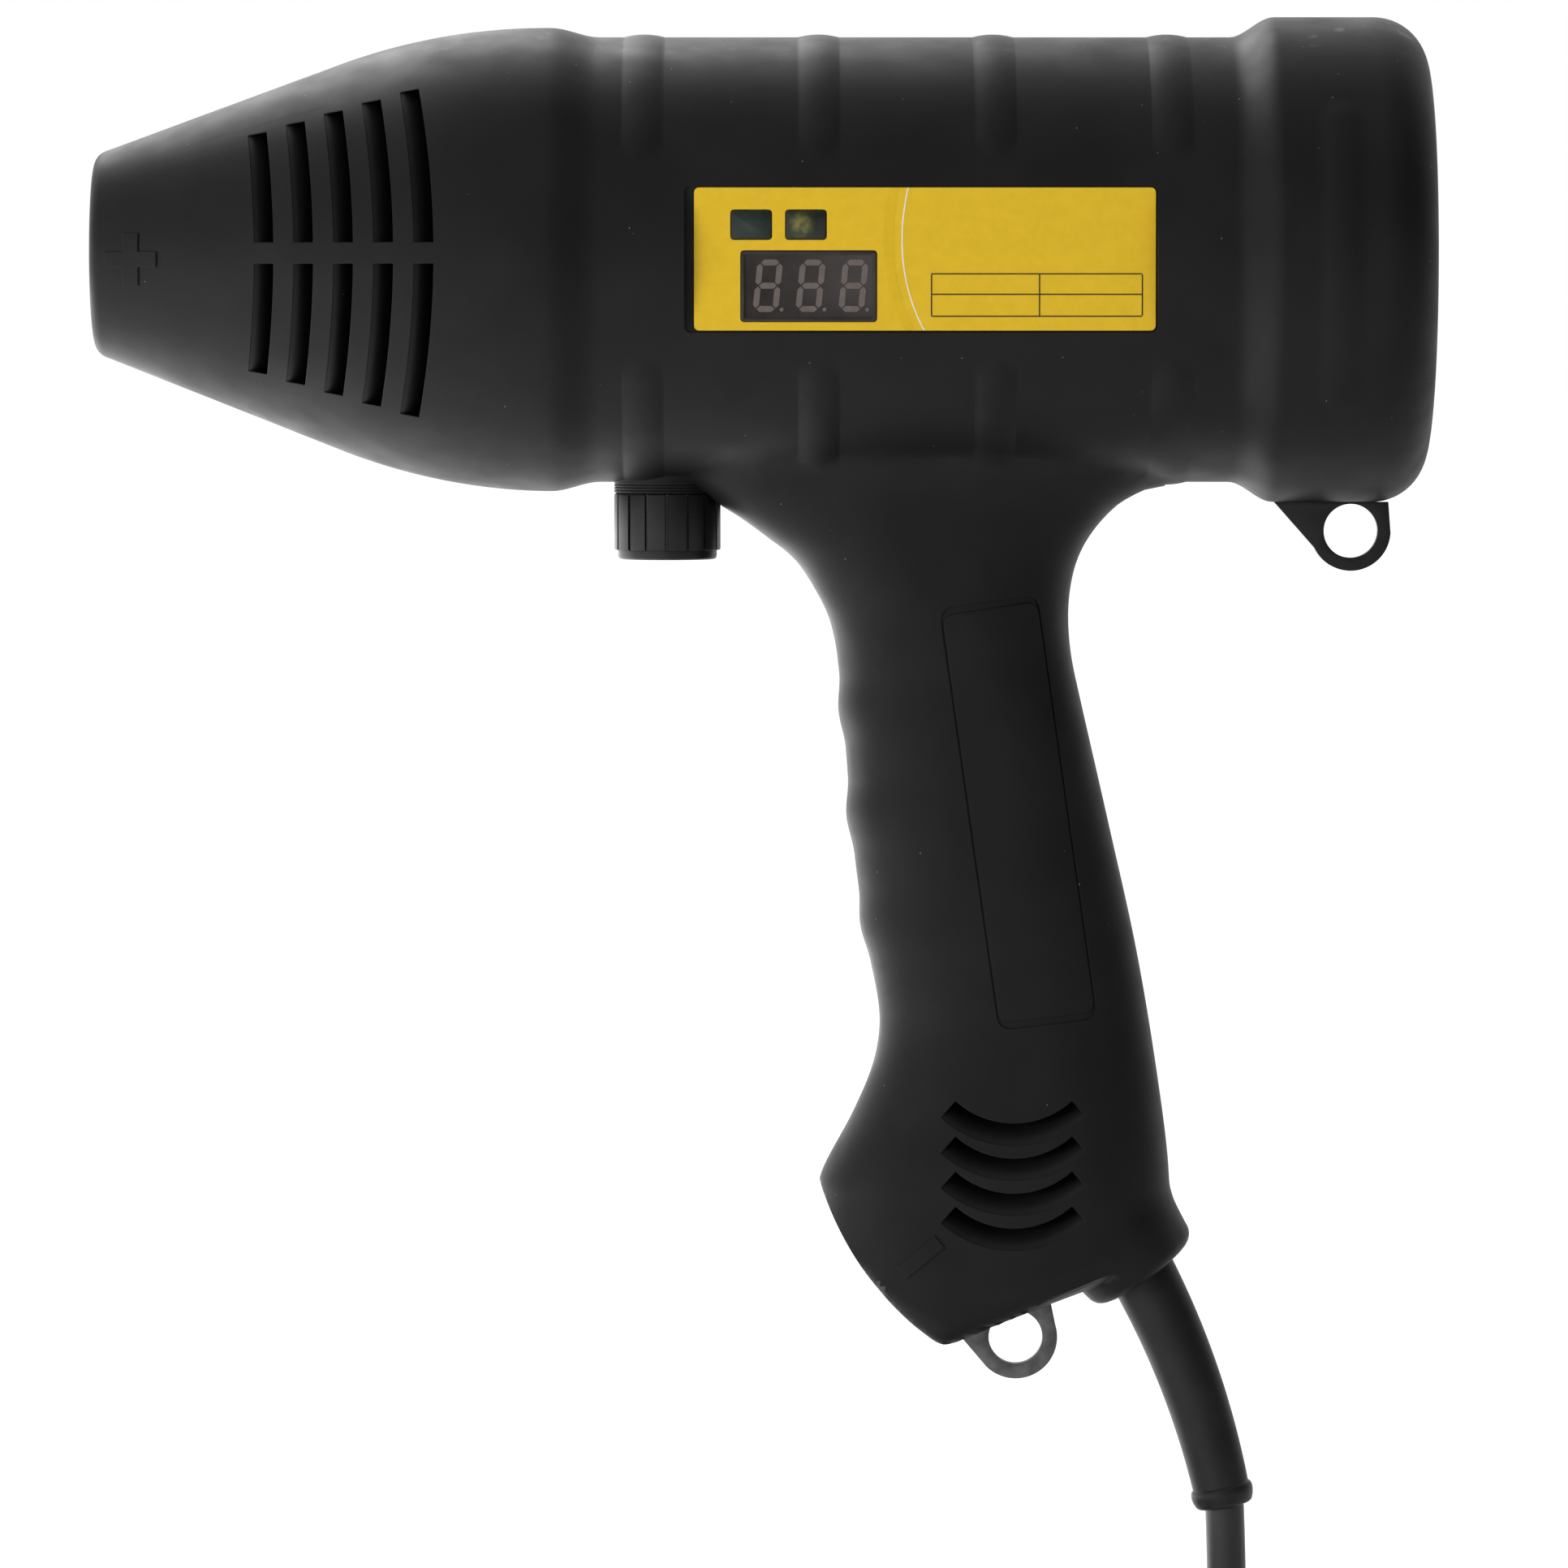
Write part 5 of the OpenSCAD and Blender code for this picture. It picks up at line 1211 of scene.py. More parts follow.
    def rib(self, point: Vector, low_end: float) -> float:
        """Height of the ribs above and below the label.

        Args:
            point: A point of the outside.
            low_end: Height at which the ribs over the grip end.

        Returns:
            How far the surface stands out there.
        """
        turn = abs(atan2(point.y, point.z - self.axis_h))
        end = radians(self.rib_reach) - self.rib_w / 2 / self.radius
        beyond = max(0.0, min(turn, pi - turn) - end) * self.radius
        best = 0.0
        for i, x in enumerate(self.rib_places()):
            over_grip = i in (1, 2) and point.z < self.axis_h
            past = max(beyond, (low_end - point.z) * 1.3 + self.rib_w / 2) if over_grip else beyond
            away = hypot(point.x - x, past) / (self.rib_w / 2)
            best = max(best, 1 - away * away)
        return self.rib_h * best

    def outer(self, grow: float = 0.0) -> Mesh:
        """The outside of the barrel as a solid, with its thumb bands.

        Args:
            grow: How far it stands outside the real surface.

        Returns:
            A closed mesh.
        """
        lead = self.tip_r - self.edge_r * (1 - sin(self.cone_a)) / cos(self.cone_a)
        tip: Outline = [(0.0, self.tip_x - grow)]
        for i in range(9):
            a, r = pi - (pi / 2 - self.cone_a) * i / 8, self.edge_r + grow
            tip.append((lead + r * sin(a), self.tip_x + self.edge_r + r * cos(a)))
        bm = spun([*tip, *self.side_line(-grow), (0.0, self.rear_x + grow)], self.steps)
        for v in bm.verts:
            r = hypot(v.co.x, v.co.y)
            if r > self.radius - 1:
                more = 1 + self.thumb_band(v.co.z, abs(atan2(v.co.y, -v.co.x))) / r
                v.co.x, v.co.y = v.co.x * more, v.co.y * more
        placed(bm, self.on_axis)
        for v in bm.verts:
            v.co.z += self.lift(v.co.x)
        return bm

    def inner(self) -> Mesh:
        """The room inside the barrel as a solid.

        Returns:
            A closed mesh.
        """
        x = self.tip_x + self.front_wall
        r = self.cone_r(x) - self.wall / cos(self.cone_a)
        line = self.side_line(self.wall)
        room = [(0.0, x), (r, x), *line[::3], line[-1], (0.0, self.rear_x - self.wall)]
        return placed(spun(room, self.steps // 2), self.on_axis)


@dataclass(frozen=True)
class GripShape:
    """Outline of the hand grip and its base."""

    barrel: BarrelShape = BarrelShape()
    thick: float = 40.0
    base_extra: float = 5.0
    ridge_h: float = 0.9
    front_a: float = 53.4
    under_a: float = 22.6
    base_low: Pair = (-8.0, -112.3)
    front_len: float = 44.8
    bow: float = 3.7
    soft_edge: float = 5.0
    corner_r: float = 3.4
    bottom: float = -125.0
    round_n: float = 2.7
    ridges: tuple[float, ...] = (23.6, 0.9, -22.7)
    ridge_half: float = 8.0
    flare_below: float = 8.0
    flare_above: float = 6.5
    base_wall: float = 1.6
    gland_r: float = 13.4
    gland_root_r: float = 16.6
    gland_edge: float = 3.5
    gland_up: float = 0.6
    gland_end: float = 4.1
    gland_wide: float = 2.1
    gland_deep: float = 22.0

    @property
    def front_line(self) -> Outline:
        """Height and place of the front edge.

        Returns:
            The points, upwards.
        """
        u = self.barrel.under_z
        return [(-125, -40), (-90, -35.4), (-81, -34.6), (-78.5, -34.5), (-76, -33.8), (-73, -32.4),
                (-63, -27), (-52, -22.6), (-42, -21.4), (-28, -23.8), (-14, -26), (0, -27.6), (14, -28.6),
                (u - 37, -30.6), (u - 30.6, -31.9), (u - 26.9, -33.3), (u - 21.9, -36), (u - 17.8, -38.7),
                (u - 15, -41.4), (u - 12.3, -45), (u - 8.2, -50.6), (u - 4.9, -55.8), (u, -64), (u + 10, -68)]

    @property
    def rear_line(self) -> Outline:
        """Height and place of the rear edge.

        Returns:
            The points, upwards.
        """
        u = self.barrel.under_z
        return [(-125, 43.5), (-77, 41.2), (-56, 38.7), (-28, 34), (0, 27.8), (u - 44, 21.2), (u - 37, 19.8),
                (u - 30, 19.2), (u - 23.7, 19.5), (u - 17.3, 20.9), (u - 11.8, 23.6), (u - 6.3, 28.2),
                (u - 2.2, 33.7), (u, 40), (u + 10, 46)]

    @property
    def bow_r(self) -> float:
        """Radius of the base's bowed front."""
        return (self.front_len ** 2 / 4 + self.bow ** 2) / (2 * self.bow)

    def curve(self, line: Outline, z: float) -> float:
        """Smooth curve through a line's points at a height.

        Args:
            line: Height and place of its points, upwards.
            z: The height.

        Returns:
            The place there.
        """
        def slope(k: int) -> float:
            """Slope at a point from its neighbours."""
            a, b = line[max(k - 1, 0)], line[min(k + 1, len(line) - 1)]
            return (b[1] - a[1]) / (b[0] - a[0])
        i = next((k for k in range(len(line) - 2) if z < line[k + 1][0]), len(line) - 2)
        gap = line[i + 1][0] - line[i][0]
        t = (z - line[i][0]) / gap
        return (line[i][1] * (1 - ease(t)) + line[i + 1][1] * ease(t)
                + gap * (slope(i) * t * (1 - t) ** 2 - slope(i + 1) * t * t * (1 - t)))

    def half_room(self, z: float) -> float:
        """Half the thickness without the flare under the barrel."""
        return self.thick / 2 + self.base_extra / 2 * ease(clamp((-z - 40) / 35, 0, 1))

    def half_y(self, z: float) -> float:
        """Half the thickness at a height.

        Args:
            z: The height.

        Returns:
            Half the thickness.
        """
        b = self.barrel
        flare = sqrt(b.radius ** 2 - (b.radius - self.flare_above) ** 2) - self.thick / 2 - 0.6
        share = max(0.0, (z - b.under_z + self.flare_below) / (self.flare_below + self.flare_above))
        return self.half_room(z) + flare * share ** 3

    def inside_base(self, x: float, z: float) -> float:
        """How far a point lies inside the front and underside of the base.

        Args:
            x: Place of the point.
            z: Its height.

        Returns:
            The distance, negative outside.
        """
        f, u = radians(self.front_a), radians(self.under_a)
        dx, dz = x - self.base_low[0], z - self.base_low[1]
        under = -dx * sin(u) + dz * cos(u)
        bow_r = self.bow_r
        along = dx * -cos(f) + dz * sin(f) - self.front_len / 2
        ahead = dx * -sin(f) - dz * cos(f)
        return min(under, max(-ahead, bow_r - hypot(along, ahead - self.bow + bow_r)))

    def side_y(self, x: float, z: float) -> float:
        """How far the side stands out from the middle at a point of the base.

        Args:
            x: Place of the point.
            z: Its height.

        Returns:
            The distance.
        """
        x0, x1 = self.curve(self.front_line, z), self.curve(self.rear_line, z)
        share = abs(2 * x - x0 - x1) / (x1 - x0)
        return self.half_y(z) * (1 - min(1.0, share) ** self.round_n) ** (1 / self.round_n)

    def rounded(self, a: float) -> Pair:
        """Point of the grip's rounded unit section at an angle.

        Args:
            a: The angle in radians.

        Returns:
            Place and side, from -1 to 1.
        """
        c, s = cos(a), sin(a)
        power = 2 / self.round_n
        return copysign(abs(c) ** power, c), copysign(abs(s) ** power, s)

    def section(self, z: float, inset: float, sides: int = 160) -> list[Vector]:
        """Ring of points round the grip at a height.

        Args:
            z: The height.
            inset: How far the ring lies inside the surface.
            sides: Number of points.

        Returns:
            The points in order.
        """
        ridge = self.ridge_h * max(1 - min(1.0, abs(z - r) / self.ridge_half) for r in self.ridges)
        x0 = self.curve(self.front_line, z) - ease(min(1.0, ridge / self.ridge_h)) * self.ridge_h + inset
        x1 = self.curve(self.rear_line, z) - inset
        middle, half = (x0 + x1) / 2, (x1 - x0) / 2
        wide = self.half_y(z) - inset
        ring = []
        for a in full_turn(sides):
            along, across = self.rounded(a)
            x, y = middle + half * along, wide * across
            lack = self.soft_edge - clamp(self.inside_base(x, z) - inset, 0, self.soft_edge)
            limit = wide - self.soft_edge + sqrt(self.soft_edge ** 2 - lack ** 2)
            ring.append(Vector((x, clamp(y, -limit, limit), z)))
        return ring

    def keeper(self, inset: float = 0.0) -> Mesh:
        """What lies behind the bowed front and above the underside of the base.

        Args:
            inset: How far it lies inside the real surface.

        Returns:
            A closed mesh.
        """
        f, u = radians(self.front_a), radians(self.under_a)
        low = Vector(self.base_low)
        along, out = Vector((-cos(f), sin(f))), Vector((-sin(f), -cos(f)))
        under = Vector((cos(u), sin(u)))
        up = Vector((-sin(u), cos(u)))
        bow_r, arc = self.bow_r, []
        half_a, r = asin(self.front_len / 2 / bow_r), bow_r - inset
        for k in range(25):
            a = half_a * (k / 12 - 1)
            ahead = self.bow - bow_r + r * cos(a)
            arc.append(low + along * (self.front_len / 2 + r * sin(a)) + out * ahead)
        lift = up * inset
        bend = [low + under * 40 + lift, low + lift + (arc[0] - low) * 0.2, arc[4]]
        corner = filleted([tuple(p) for p in bend], self.corner_r, 8, closed=False)
        far = [tuple(arc[-1] + along * 200), (200.0, 300.0), tuple(low + under * 300 + lift)]
        return prism([*corner, *[tuple(p) for p in arc[5:]], *far], -80, 80)

    def outer(self, inset: float = 0.0) -> Mesh:
        """The outside of the grip as a solid.

        Args:
            inset: How far it lies inside the real surface.

        Returns:
            A closed mesh.
        """
        top, low = self.barrel.under_z + self.flare_above, self.bottom
        rows = [low + (top - low) * i / 180 for i in range(181)]
        return carve(lofted([self.section(z, inset) for z in rows]), Op.KEEP, self.keeper(inset))

    def inner(self, knob_edge: float) -> Mesh:
        """The room inside the grip as a solid.

        Args:
            knob_edge: Place that the room stays behind, clear of the knob.

        Returns:
            A closed mesh.
        """
        wall, rings = self.barrel.wall, []
        upper = [self.barrel.under_z - down for down in (37, 30, 25, 20, 16, 13, 10, 7, 3, 0, -14)]
        for z in (-123, -100, -77, -63, -52, -42, -30, -20, -10, 0, 10, 20, *upper):
            x0 = max(self.curve(self.front_line, z) + wall, knob_edge + wall)
            x1 = self.curve(self.rear_line, z) - wall
            middle, long, wide = (x0 + x1) / 2, (x1 - x0) / 2, self.half_room(z) - wall
            shape = [self.rounded(a) for a in full_turn(48)]
            rings.append([Vector((middle + long * along, wide * across, z)) for along, across in shape])
        return carve(lofted(rings), Op.KEEP, self.keeper(wall + self.base_wall))

    def gland(self, cord: MainsCord) -> Mesh:
        """Boss that holds the bend relief, wider across than along the grip.

        Args:
            cord: The cord that it holds.

        Returns:
            A closed mesh.
        """
        edge, deep = self.gland_edge, self.gland_deep
        lengths = [(-deep + (deep - edge) * i / 14, 0.0) for i in range(15)]
        bend = [pi / 16 * i for i in range(1, 9)]
        lengths += [(-edge + edge * sin(a), edge * (1 - cos(a))) for a in bend]
        rings = []
        for u, inset in lengths:
            back = max(0.0, -edge - u)
            along = self.gland_r + (self.gland_root_r - self.gland_r) * back / (deep - edge) - inset
            across = self.gland_r + self.gland_end + self.gland_wide * (1 - exp(-back / 5)) - inset
            rings.append([Vector((along * cos(a) - self.gland_up, across * sin(a), u))
                          for a in full_turn(96)])
        return placed(lofted(rings), gland_frame(cord))


def gland_frame(cord: MainsCord) -> Matrix:
    """Place of the gland, whose own Z points out along the cord."""
    return Matrix.Translation(cord.gland_at) @ Matrix.Rotation(radians(180 - cord.gland_lean), 4, "Y")


@dataclass(frozen=True)
class PanelShape:
    """Places of the label, display and lenses on the left side."""

    centre: Pair = (-12.4, 120.5)
    length: float = 97.0
    height: float = 30.0
    film_t: float = 0.4
    corner: float = 1.2
    gap: float = 0.4
    front_gap: float = 2.0
    display_at: Pair = (-36.8, 114.8)
    display: Pair = (28.6, 14.9)
    lens_at: tuple[Pair, ...] = ((-48.9, 127.7), (-37.4, 127.7))
    lens: Pair = (8.6, 6.2)
    fit: float = 0.2

    @property
    def floor_y(self) -> float:
        """Depth of the pocket's floor from the middle."""
        barrel = BarrelShape()
        return sqrt(barrel.radius ** 2 - (self.height / 2 + self.gap) ** 2) - self.film_t

    @property
    def face_y(self) -> float:
        """Depth of the label's face from the middle."""
        return self.floor_y + self.film_t

    def pocket(self) -> Outline:
        """Outline of the pocket, which is longer at its front end.

        Returns:
            The rounded outline.
        """
        x, z = self.centre
        middle = (x - (self.front_gap - self.gap) / 2, z)
        room = box_outline(middle, self.length + self.gap + self.front_gap, self.height + 2 * self.gap)
        return filleted(room, self.corner + self.gap)

    def windows(self, spare: float, corner: float) -> list[Outline]:
        """Outlines of the display and lens windows, wider by spare than what they hold."""
        held = [(self.display_at, self.display), *[(at, self.lens) for at in self.lens_at]]
        return [filleted(box_outline(at, wide + spare, high + spare), corner) for at, (wide, high) in held]


@dataclass(frozen=True)
class Vents:
    """Curved slots in the nose and in the grip's base, with slanted blades behind them."""

    barrel: BarrelShape = BarrelShape()
    grip: GripShape = GripShape()
    columns: int = 5
    first: float = 36.1
    pitch: float = 8.55
    width: float = 4.15
    half_h: float = 24.9
    grow: float = 2.25
    bar: float = 4.5
    bow_r: float = 165.0
    tilt: float = 10.0
    rise: float = 1.3
    rows: int = 4
    centre: Pair = (7.1, -45.0)
    row_pitch: float = 7.5
    radii: Pair = (18.8, 23.5)
    reach: float = 41.5
    reach_by_screw: float = 24.0
    blade_t: float = 1.2
    blade_in: float = 7.2
    blade_curve: float = 1.7
    lap: float = 0.6
    past: float = 1.5
    root: float = 0.03
    sink: float = 0.12

    def bow(self, z: float) -> float:
        """How far a nose slot curves forward at a height above the axis."""
        return self.bow_r - sqrt(self.bow_r ** 2 - z * z)

    def cutters(self, side: Side) -> list[Mesh]:
        """Make a cutter for each slot.

        Args:
            side: The half that they cut.

        Returns:
            One closed mesh for each slot.
        """
        b, y0, y1 = self.barrel, side.value * 10, side.value * 90
        middle, (inner, outer) = b.axis_h + self.rise, self.radii
        made = []
        for i in range(self.columns):
            x, high = b.tip_x + self.first + i * self.pitch, self.half_h + i * self.grow
            far = high + self.width * tan(radians(self.tilt))
            for up in (-1, 1):
                line: Outline = []
                for k in range(13):
                    z = self.bar / 2 + (high - self.bar / 2) * k / 12
                    line.append((x - self.bow(z), middle + up * z))
                for k in range(12, -1, -1):
                    z = self.bar / 2 + (far - self.bar / 2) * k / 12
                    line.append((x + self.width - self.bow(z), middle + up * z))
                made.append(prism(line, y0, y1))
        for i in range(self.rows):
            angles = self.sweep(side, i, 25)
            x, z = self.centre[0], self.centre[1] - self.row_pitch * i
            line = [(x + inner * cos(a), z + inner * sin(a)) for a in angles]
            line += [(x + outer * cos(a), z + outer * sin(a)) for a in reversed(angles)]
            made.append(prism(line, y0, y1))
        return made

    def blades(self, side: Side) -> list[Mesh]:
        """Make a slanted blade for each slot, which hides the inside.

        Args:
            side: The half that they stand in.

        Returns:
            One closed mesh for each blade.
        """
        b, s, t = self.barrel, side.value, self.blade_t
        shares = [k / 7 for k in range(8)]
        made = []
        for i in range(self.columns):
            x0 = b.tip_x + self.first + i * self.pitch
            end = self.half_h + i * self.grow + self.past
            rings = []
            for h in (end * (k / 16 - 1) for k in range(33)):
                x, z = x0 - self.bow(h) - self.root, b.axis_h + self.rise + h
                line = [(x + (self.width + self.lap) * k, self.depth(k)) for k in shares]
                line = [(at, b.nose_y(at, z) - deep) for at, deep in line]
                rings.append([Vector((at, s * y, z)) for at, y in self.thickened(line, -t)])
            made.append(lofted(rings))
        x, (inner, outer) = self.centre[0], self.radii
        r, fall = outer + self.root, outer - inner + self.lap
        for i in range(self.rows):
            z = self.centre[1] - self.row_pitch * i
            rings = []
            for a in self.sweep(side, i, 33, self.past):
                c, e = cos(a), sin(a)
                line = [(r - fall * k, self.depth(k)) for k in shares]
                line = [(q, self.grip.side_y(x + q * c, z + q * e) - deep) for q, deep in line]
                rings.append([Vector((x + q * c, s * y, z + q * e)) for q, y in self.thickened(line, t)])
            made.append(lofted(rings))
        return made

    def sweep(self, side: Side, row: int, count: int, beyond: float = 0.0) -> list[float]:
        """Angles along a slot of the grip, whose first row stops short of a screw hole on the right.

        Args:
            side: The half that has the slot.
            row: Its number from the top.
            count: How many angles to give.
            beyond: Degrees added at both ends.

        Returns:
            The angles in radians.
        """
        rear = self.reach_by_screw if side is Side.RIGHT and row == 0 else self.reach
        low, high = -90 - self.reach - beyond, -90 + rear + beyond
        return [radians(low + (high - low) * k / (count - 1)) for k in range(count)]

    def depth(self, share: float) -> float:
        """How deep a blade lies at a share of its width, from flush at its root."""
        return self.sink + self.blade_in * share ** self.blade_curve

    def thickened(self, line: Outline, aside: float) -> Outline:
        """A blade's closed cross section, from its outer line and how far aside its back lies."""
        return [*line, *[(at + aside, y - self.blade_t / 2) for at, y in reversed(line)]]


@dataclass(frozen=True)
class Housing:
    """The two moulded halves with their vents, seats, bosses and marks."""

    barrel: BarrelShape = BarrelShape()
    grip: GripShape = GripShape()
    panel: PanelShape = PanelShape()
    vents: Vents = Vents()
    cord: MainsCord = MainsCord()
    knob_at: float = 14.4
    knob_r: float = 11.45
    knob_gap: float = 0.8
    knob_room: float = 18.0
    bush_r: float = 4.1
    collar_h: float = 2.2
    collar_lines: tuple[float, ...] = (0.7, 1.3, 1.9)
    grille_r: float = 36.5
    ground_at: Triple = (-23.12, 0, -94.53)
    socket_r: Pair = (11.1, 14.1)
    socket_z: Triple = (-8.0, -3.1, 4.0)
    sleeve_bore: float = 9.7
    sleeve_z: Triple = (-26.0, -5.0, 3.0)
    boss_r: float = 5.6
    boss_share: float = 0.72
    boss_from: Triple = (19.0, 12.0, 4.5)
    head_r: float = 4.0
    screw_r: float = 2.1
    rib_low: float = 75.6
    rib_fade: float = 6.0
    crease: float = -0.12
    blend_y: float = 8.0
    blend_z: float = 14.0
    blend_x: Pair = (-75.0, 52.0)
    blend_low: Pair = (15.0, -75.0)
    blend_edge: float = 5.0
    blend_passes: tuple[tuple[int, int], ...] = ((6, 5), (4, 8), (2, 10))
    seam: float = 0.04
    mark_h: float = 0.4
    plus: Triple = (9.2, 5.6, 1.65)
    minus_at: Pair = (-12.8, -92.5)
    minus: Pair = (10.6, 3.3)
    minus_a: float = 40.0
    groove: tuple[Pair, ...] = ((-8.9, 46.2), (12.2, 49.3), (25.1, -41.6), (3.9, -44.0))
    groove_w: float = 1.7
    groove_r: Pair = (3.2, 2.6)
    groove_d: float = 0.4
    pad_ends: Pair = (50.9, 49.9)
    pad_half: float = 16.0
    pad_t: float = 2.4

    @property
    def knob_x(self) -> float:
        """Place of the knob's axis."""
        return self.barrel.front + self.knob_at

    @property
    def ground_frame(self) -> Matrix:
        """Place of the lower socket, whose own Z points out of the base."""
        turn = radians(self.grip.front_a) - pi
        return Matrix.Translation(self.ground_at) @ Matrix.Rotation(turn, 4, "Y")

    @property
    def front_frame(self) -> Matrix:
        """Place of the front socket, whose own Z points out of the nose."""
        tip = (self.barrel.tip_x, 0, self.barrel.axis_h)
        return Matrix.Translation(tip) @ Matrix.Rotation(-pi / 2, 4, "Y")

    def bosses(self) -> list[Triple]:
        """Place, height and reach of each screw boss.

        Returns:
            One row for each boss.
        """
        b = self.barrel
        by_tip, by_crest, by_rib = self.boss_from
        rear = b.front + b.rib_first + 3 * b.rib_pitch + b.rib_w / 2 + by_rib
        crest = b.crest_r - b.arc_r + sqrt(b.arc_r ** 2 - by_crest ** 2)
        tip = b.tip_x + by_tip
        made = []
        for x, r in ((tip, b.cone_r(tip)), (b.crest_x - by_crest, crest), (rear, b.radius)):
            reach = sqrt(r * r - (self.boss_share * r + self.boss_r) ** 2) - 1
            made += [(x, b.axis_h + up * self.boss_share * r, reach) for up in (1, -1)]
        flat = self.grip.thick / 2 - b.wall / 2
        return made + [(-5, b.under_z - 28, flat), (6, -14, flat), (20, -60, flat)]

    def solid(self) -> Mesh:
        """The whole outside with the room inside taken out.

        Returns:
            The hollow housing.
        """
        b = self.barrel
        lines = [(0.0, 0.0), (self.knob_r, 0.0)]
        for z in self.collar_lines:
            lines += [(self.knob_r, z - 0.3), (self.knob_r - 0.25, z - 0.15), (self.knob_r, z)]
        collar = placed(spun([*lines, (self.knob_r, self.collar_h + 3), (0.0, self.collar_h + 3)], 96),
                        Matrix.Translation((self.knob_x, 0, b.under_z - self.collar_h)))
        shape = carve(b.outer(), Op.JOIN, self.grip.outer(), self.grip.gland(self.cord))
        self.soften(shape)
        self.raise_ribs(shape)
        shape = carve(shape, Op.JOIN, collar)
        return carve(shape, Op.CUT, b.inner(), self.grip.inner(self.knob_x + self.knob_r + self.knob_gap))

    def soften(self, shape: Mesh) -> None:
        """Blend the grip into the barrel, and the boss for the cord into the base.

        Args:
            shape: The joined outside, which is changed.
        """
        under, (front, rear), (back, low) = self.barrel.under_z, self.blend_x, self.blend_low
        shape.normal_update()
        crease: set[bmesh.types.BMVert] = set()
        for edge in shape.edges:
            if edge.is_manifold and edge.calc_face_angle_signed() < self.crease:
                at = (edge.verts[0].co + edge.verts[1].co) / 2
                by_barrel = abs(at.y) > self.blend_y and abs(at.z - under) < self.blend_z
                if (by_barrel and front < at.x < rear) or (at.z < low and at.x > back):
                    crease.update(edge.verts)
        rings = [crease]
        for _ in range(6):
            rings.append(rings[-1] | {edge.other_vert(v) for v in rings[-1] for edge in v.link_edges})
        for ring, passes in self.blend_passes:
            chosen = [v for v in rings[ring] if max(e.calc_length() for e in v.link_edges) < self.blend_edge]
            for _ in range(passes):
                bmesh.ops.smooth_vert(shape, verts=chosen, factor=0.5,
                                      use_axis_x=True, use_axis_y=True, use_axis_z=True)

    def raise_ribs(self, shape: Mesh) -> None:
        """Raise the ribs out of the barrel, with crisp long edges.

        Args:
            shape: The joined outside, which is changed.
        """
        b, low = self.barrel, self.rib_low - self.rib_fade
        for x in b.rib_places():
            for edge in (-0.2, 0.0, b.rib_w, b.rib_w + 0.2):
                middles = [(f, f.calc_center_median()) for f in shape.faces]
                faces = [f for f, at in middles if abs(at.x - x) < b.rib_w and at.z > low]
                around = {g for f in faces for g in (f, *f.edges, *f.verts)}
                bmesh.ops.bisect_plane(shape, geom=list(around), dist=NEAR,
                                       plane_co=(x - b.rib_w / 2 + edge, 0, 0), plane_no=(1, 0, 0))
        shape.normal_update()
        raised = [v for v in shape.verts if v.co.z > low and b.front < v.co.x < b.back]
        moves = [v.normal * b.rib(v.co, self.rib_low) for v in raised]
        for v, move in zip(raised, moves):
            v.co += move

    def seats(self) -> list[Mesh]:
        """Cutters for the grille, sockets, knob, rear lug and bend relief.

        Returns:
            One closed mesh for each seat.
        """
        b, cord, x = self.barrel, self.cord, self.knob_x
        grille = rod(self.grille_r, (0, 0, b.rear_x - b.wall - 1), (0, 0, b.rear_x + 2), 128)
        made = [placed(grille, b.on_axis)]
        for place in (self.front_frame, self.ground_frame):
            made.append(placed(spun(stepped(self.socket_r, self.socket_z), 96), place))
        bore = stepped((self.sleeve_bore, cord.sleeve_d / 2 + 0.1), self.sleeve_z)
        made.append(placed(spun(bore, 72), gland_frame(cord)))
        low = b.under_z - self.collar_h
        made.append(rod(self.knob_r + self.knob_gap, (x, 0, low - self.knob_room), (x, 0, low), 96))
        made.append(rod(self.bush_r, (x, 0, low - 1), (x, 0, low + 12), 48))
        return [*made, self.lug_slot(rear_lug_frame(b))]

    def lug_slot(self, frame_at: Matrix) -> Mesh:
        """Cutter for the slot of a strap lug."""
        return placed(block((-7.1, -1.6, -1), (3.1, 1.6, 4)), frame_at)

    def marks(self) -> Mesh:
        """Raised plus and minus signs by the sockets, standing just out of the surface.

        Returns:
            Both signs in one mesh.
        """
        b = self.barrel
        back, arm, half = self.plus
        x, z = b.tip_x + back, b.axis_h
        corner, plus = [(-arm, -half), (-half, -half), (-half, -arm)], []
        for _ in range(4):
            plus += [(x + u, z + w) for u, w in corner]
            corner = [(-w, u) for u, w in corner]
        on_nose = carve(prism(plus, OUT, -10), Op.KEEP, b.outer(self.mark_h))
        turn = Matrix.Rotation(radians(self.minus_a), 2)
        minus = [tuple(Vector(self.minus_at) + turn @ Vector(p)) for p in box_outline((0, 0), *self.minus)]
        on_base = carve(prism(minus, OUT, -10), Op.KEEP, self.grip.outer(-self.mark_h))
        return merged(on_nose, on_base)

    def frame_groove(self) -> Mesh:
        """Cutter for the engraved frame on the side of the grip.

        Returns:
            A closed mesh.
        """
        corners, (outer_r, inner_r) = self.groove, self.groove_r
        middle = Vector((sum(c[0] for c in corners) / 4, sum(c[1] for c in corners) / 4))
        inner = [tuple(Vector(c) + (middle - Vector(c)).normalized() * self.groove_w) for c in corners]
        ring = prism(filleted(corners, outer_r), OUT, -10)
        ring = carve(ring, Op.CUT, prism(filleted(inner, inner_r), OUT - 1, -9))
        return carve(ring, Op.CUT, self.grip.outer(self.groove_d))

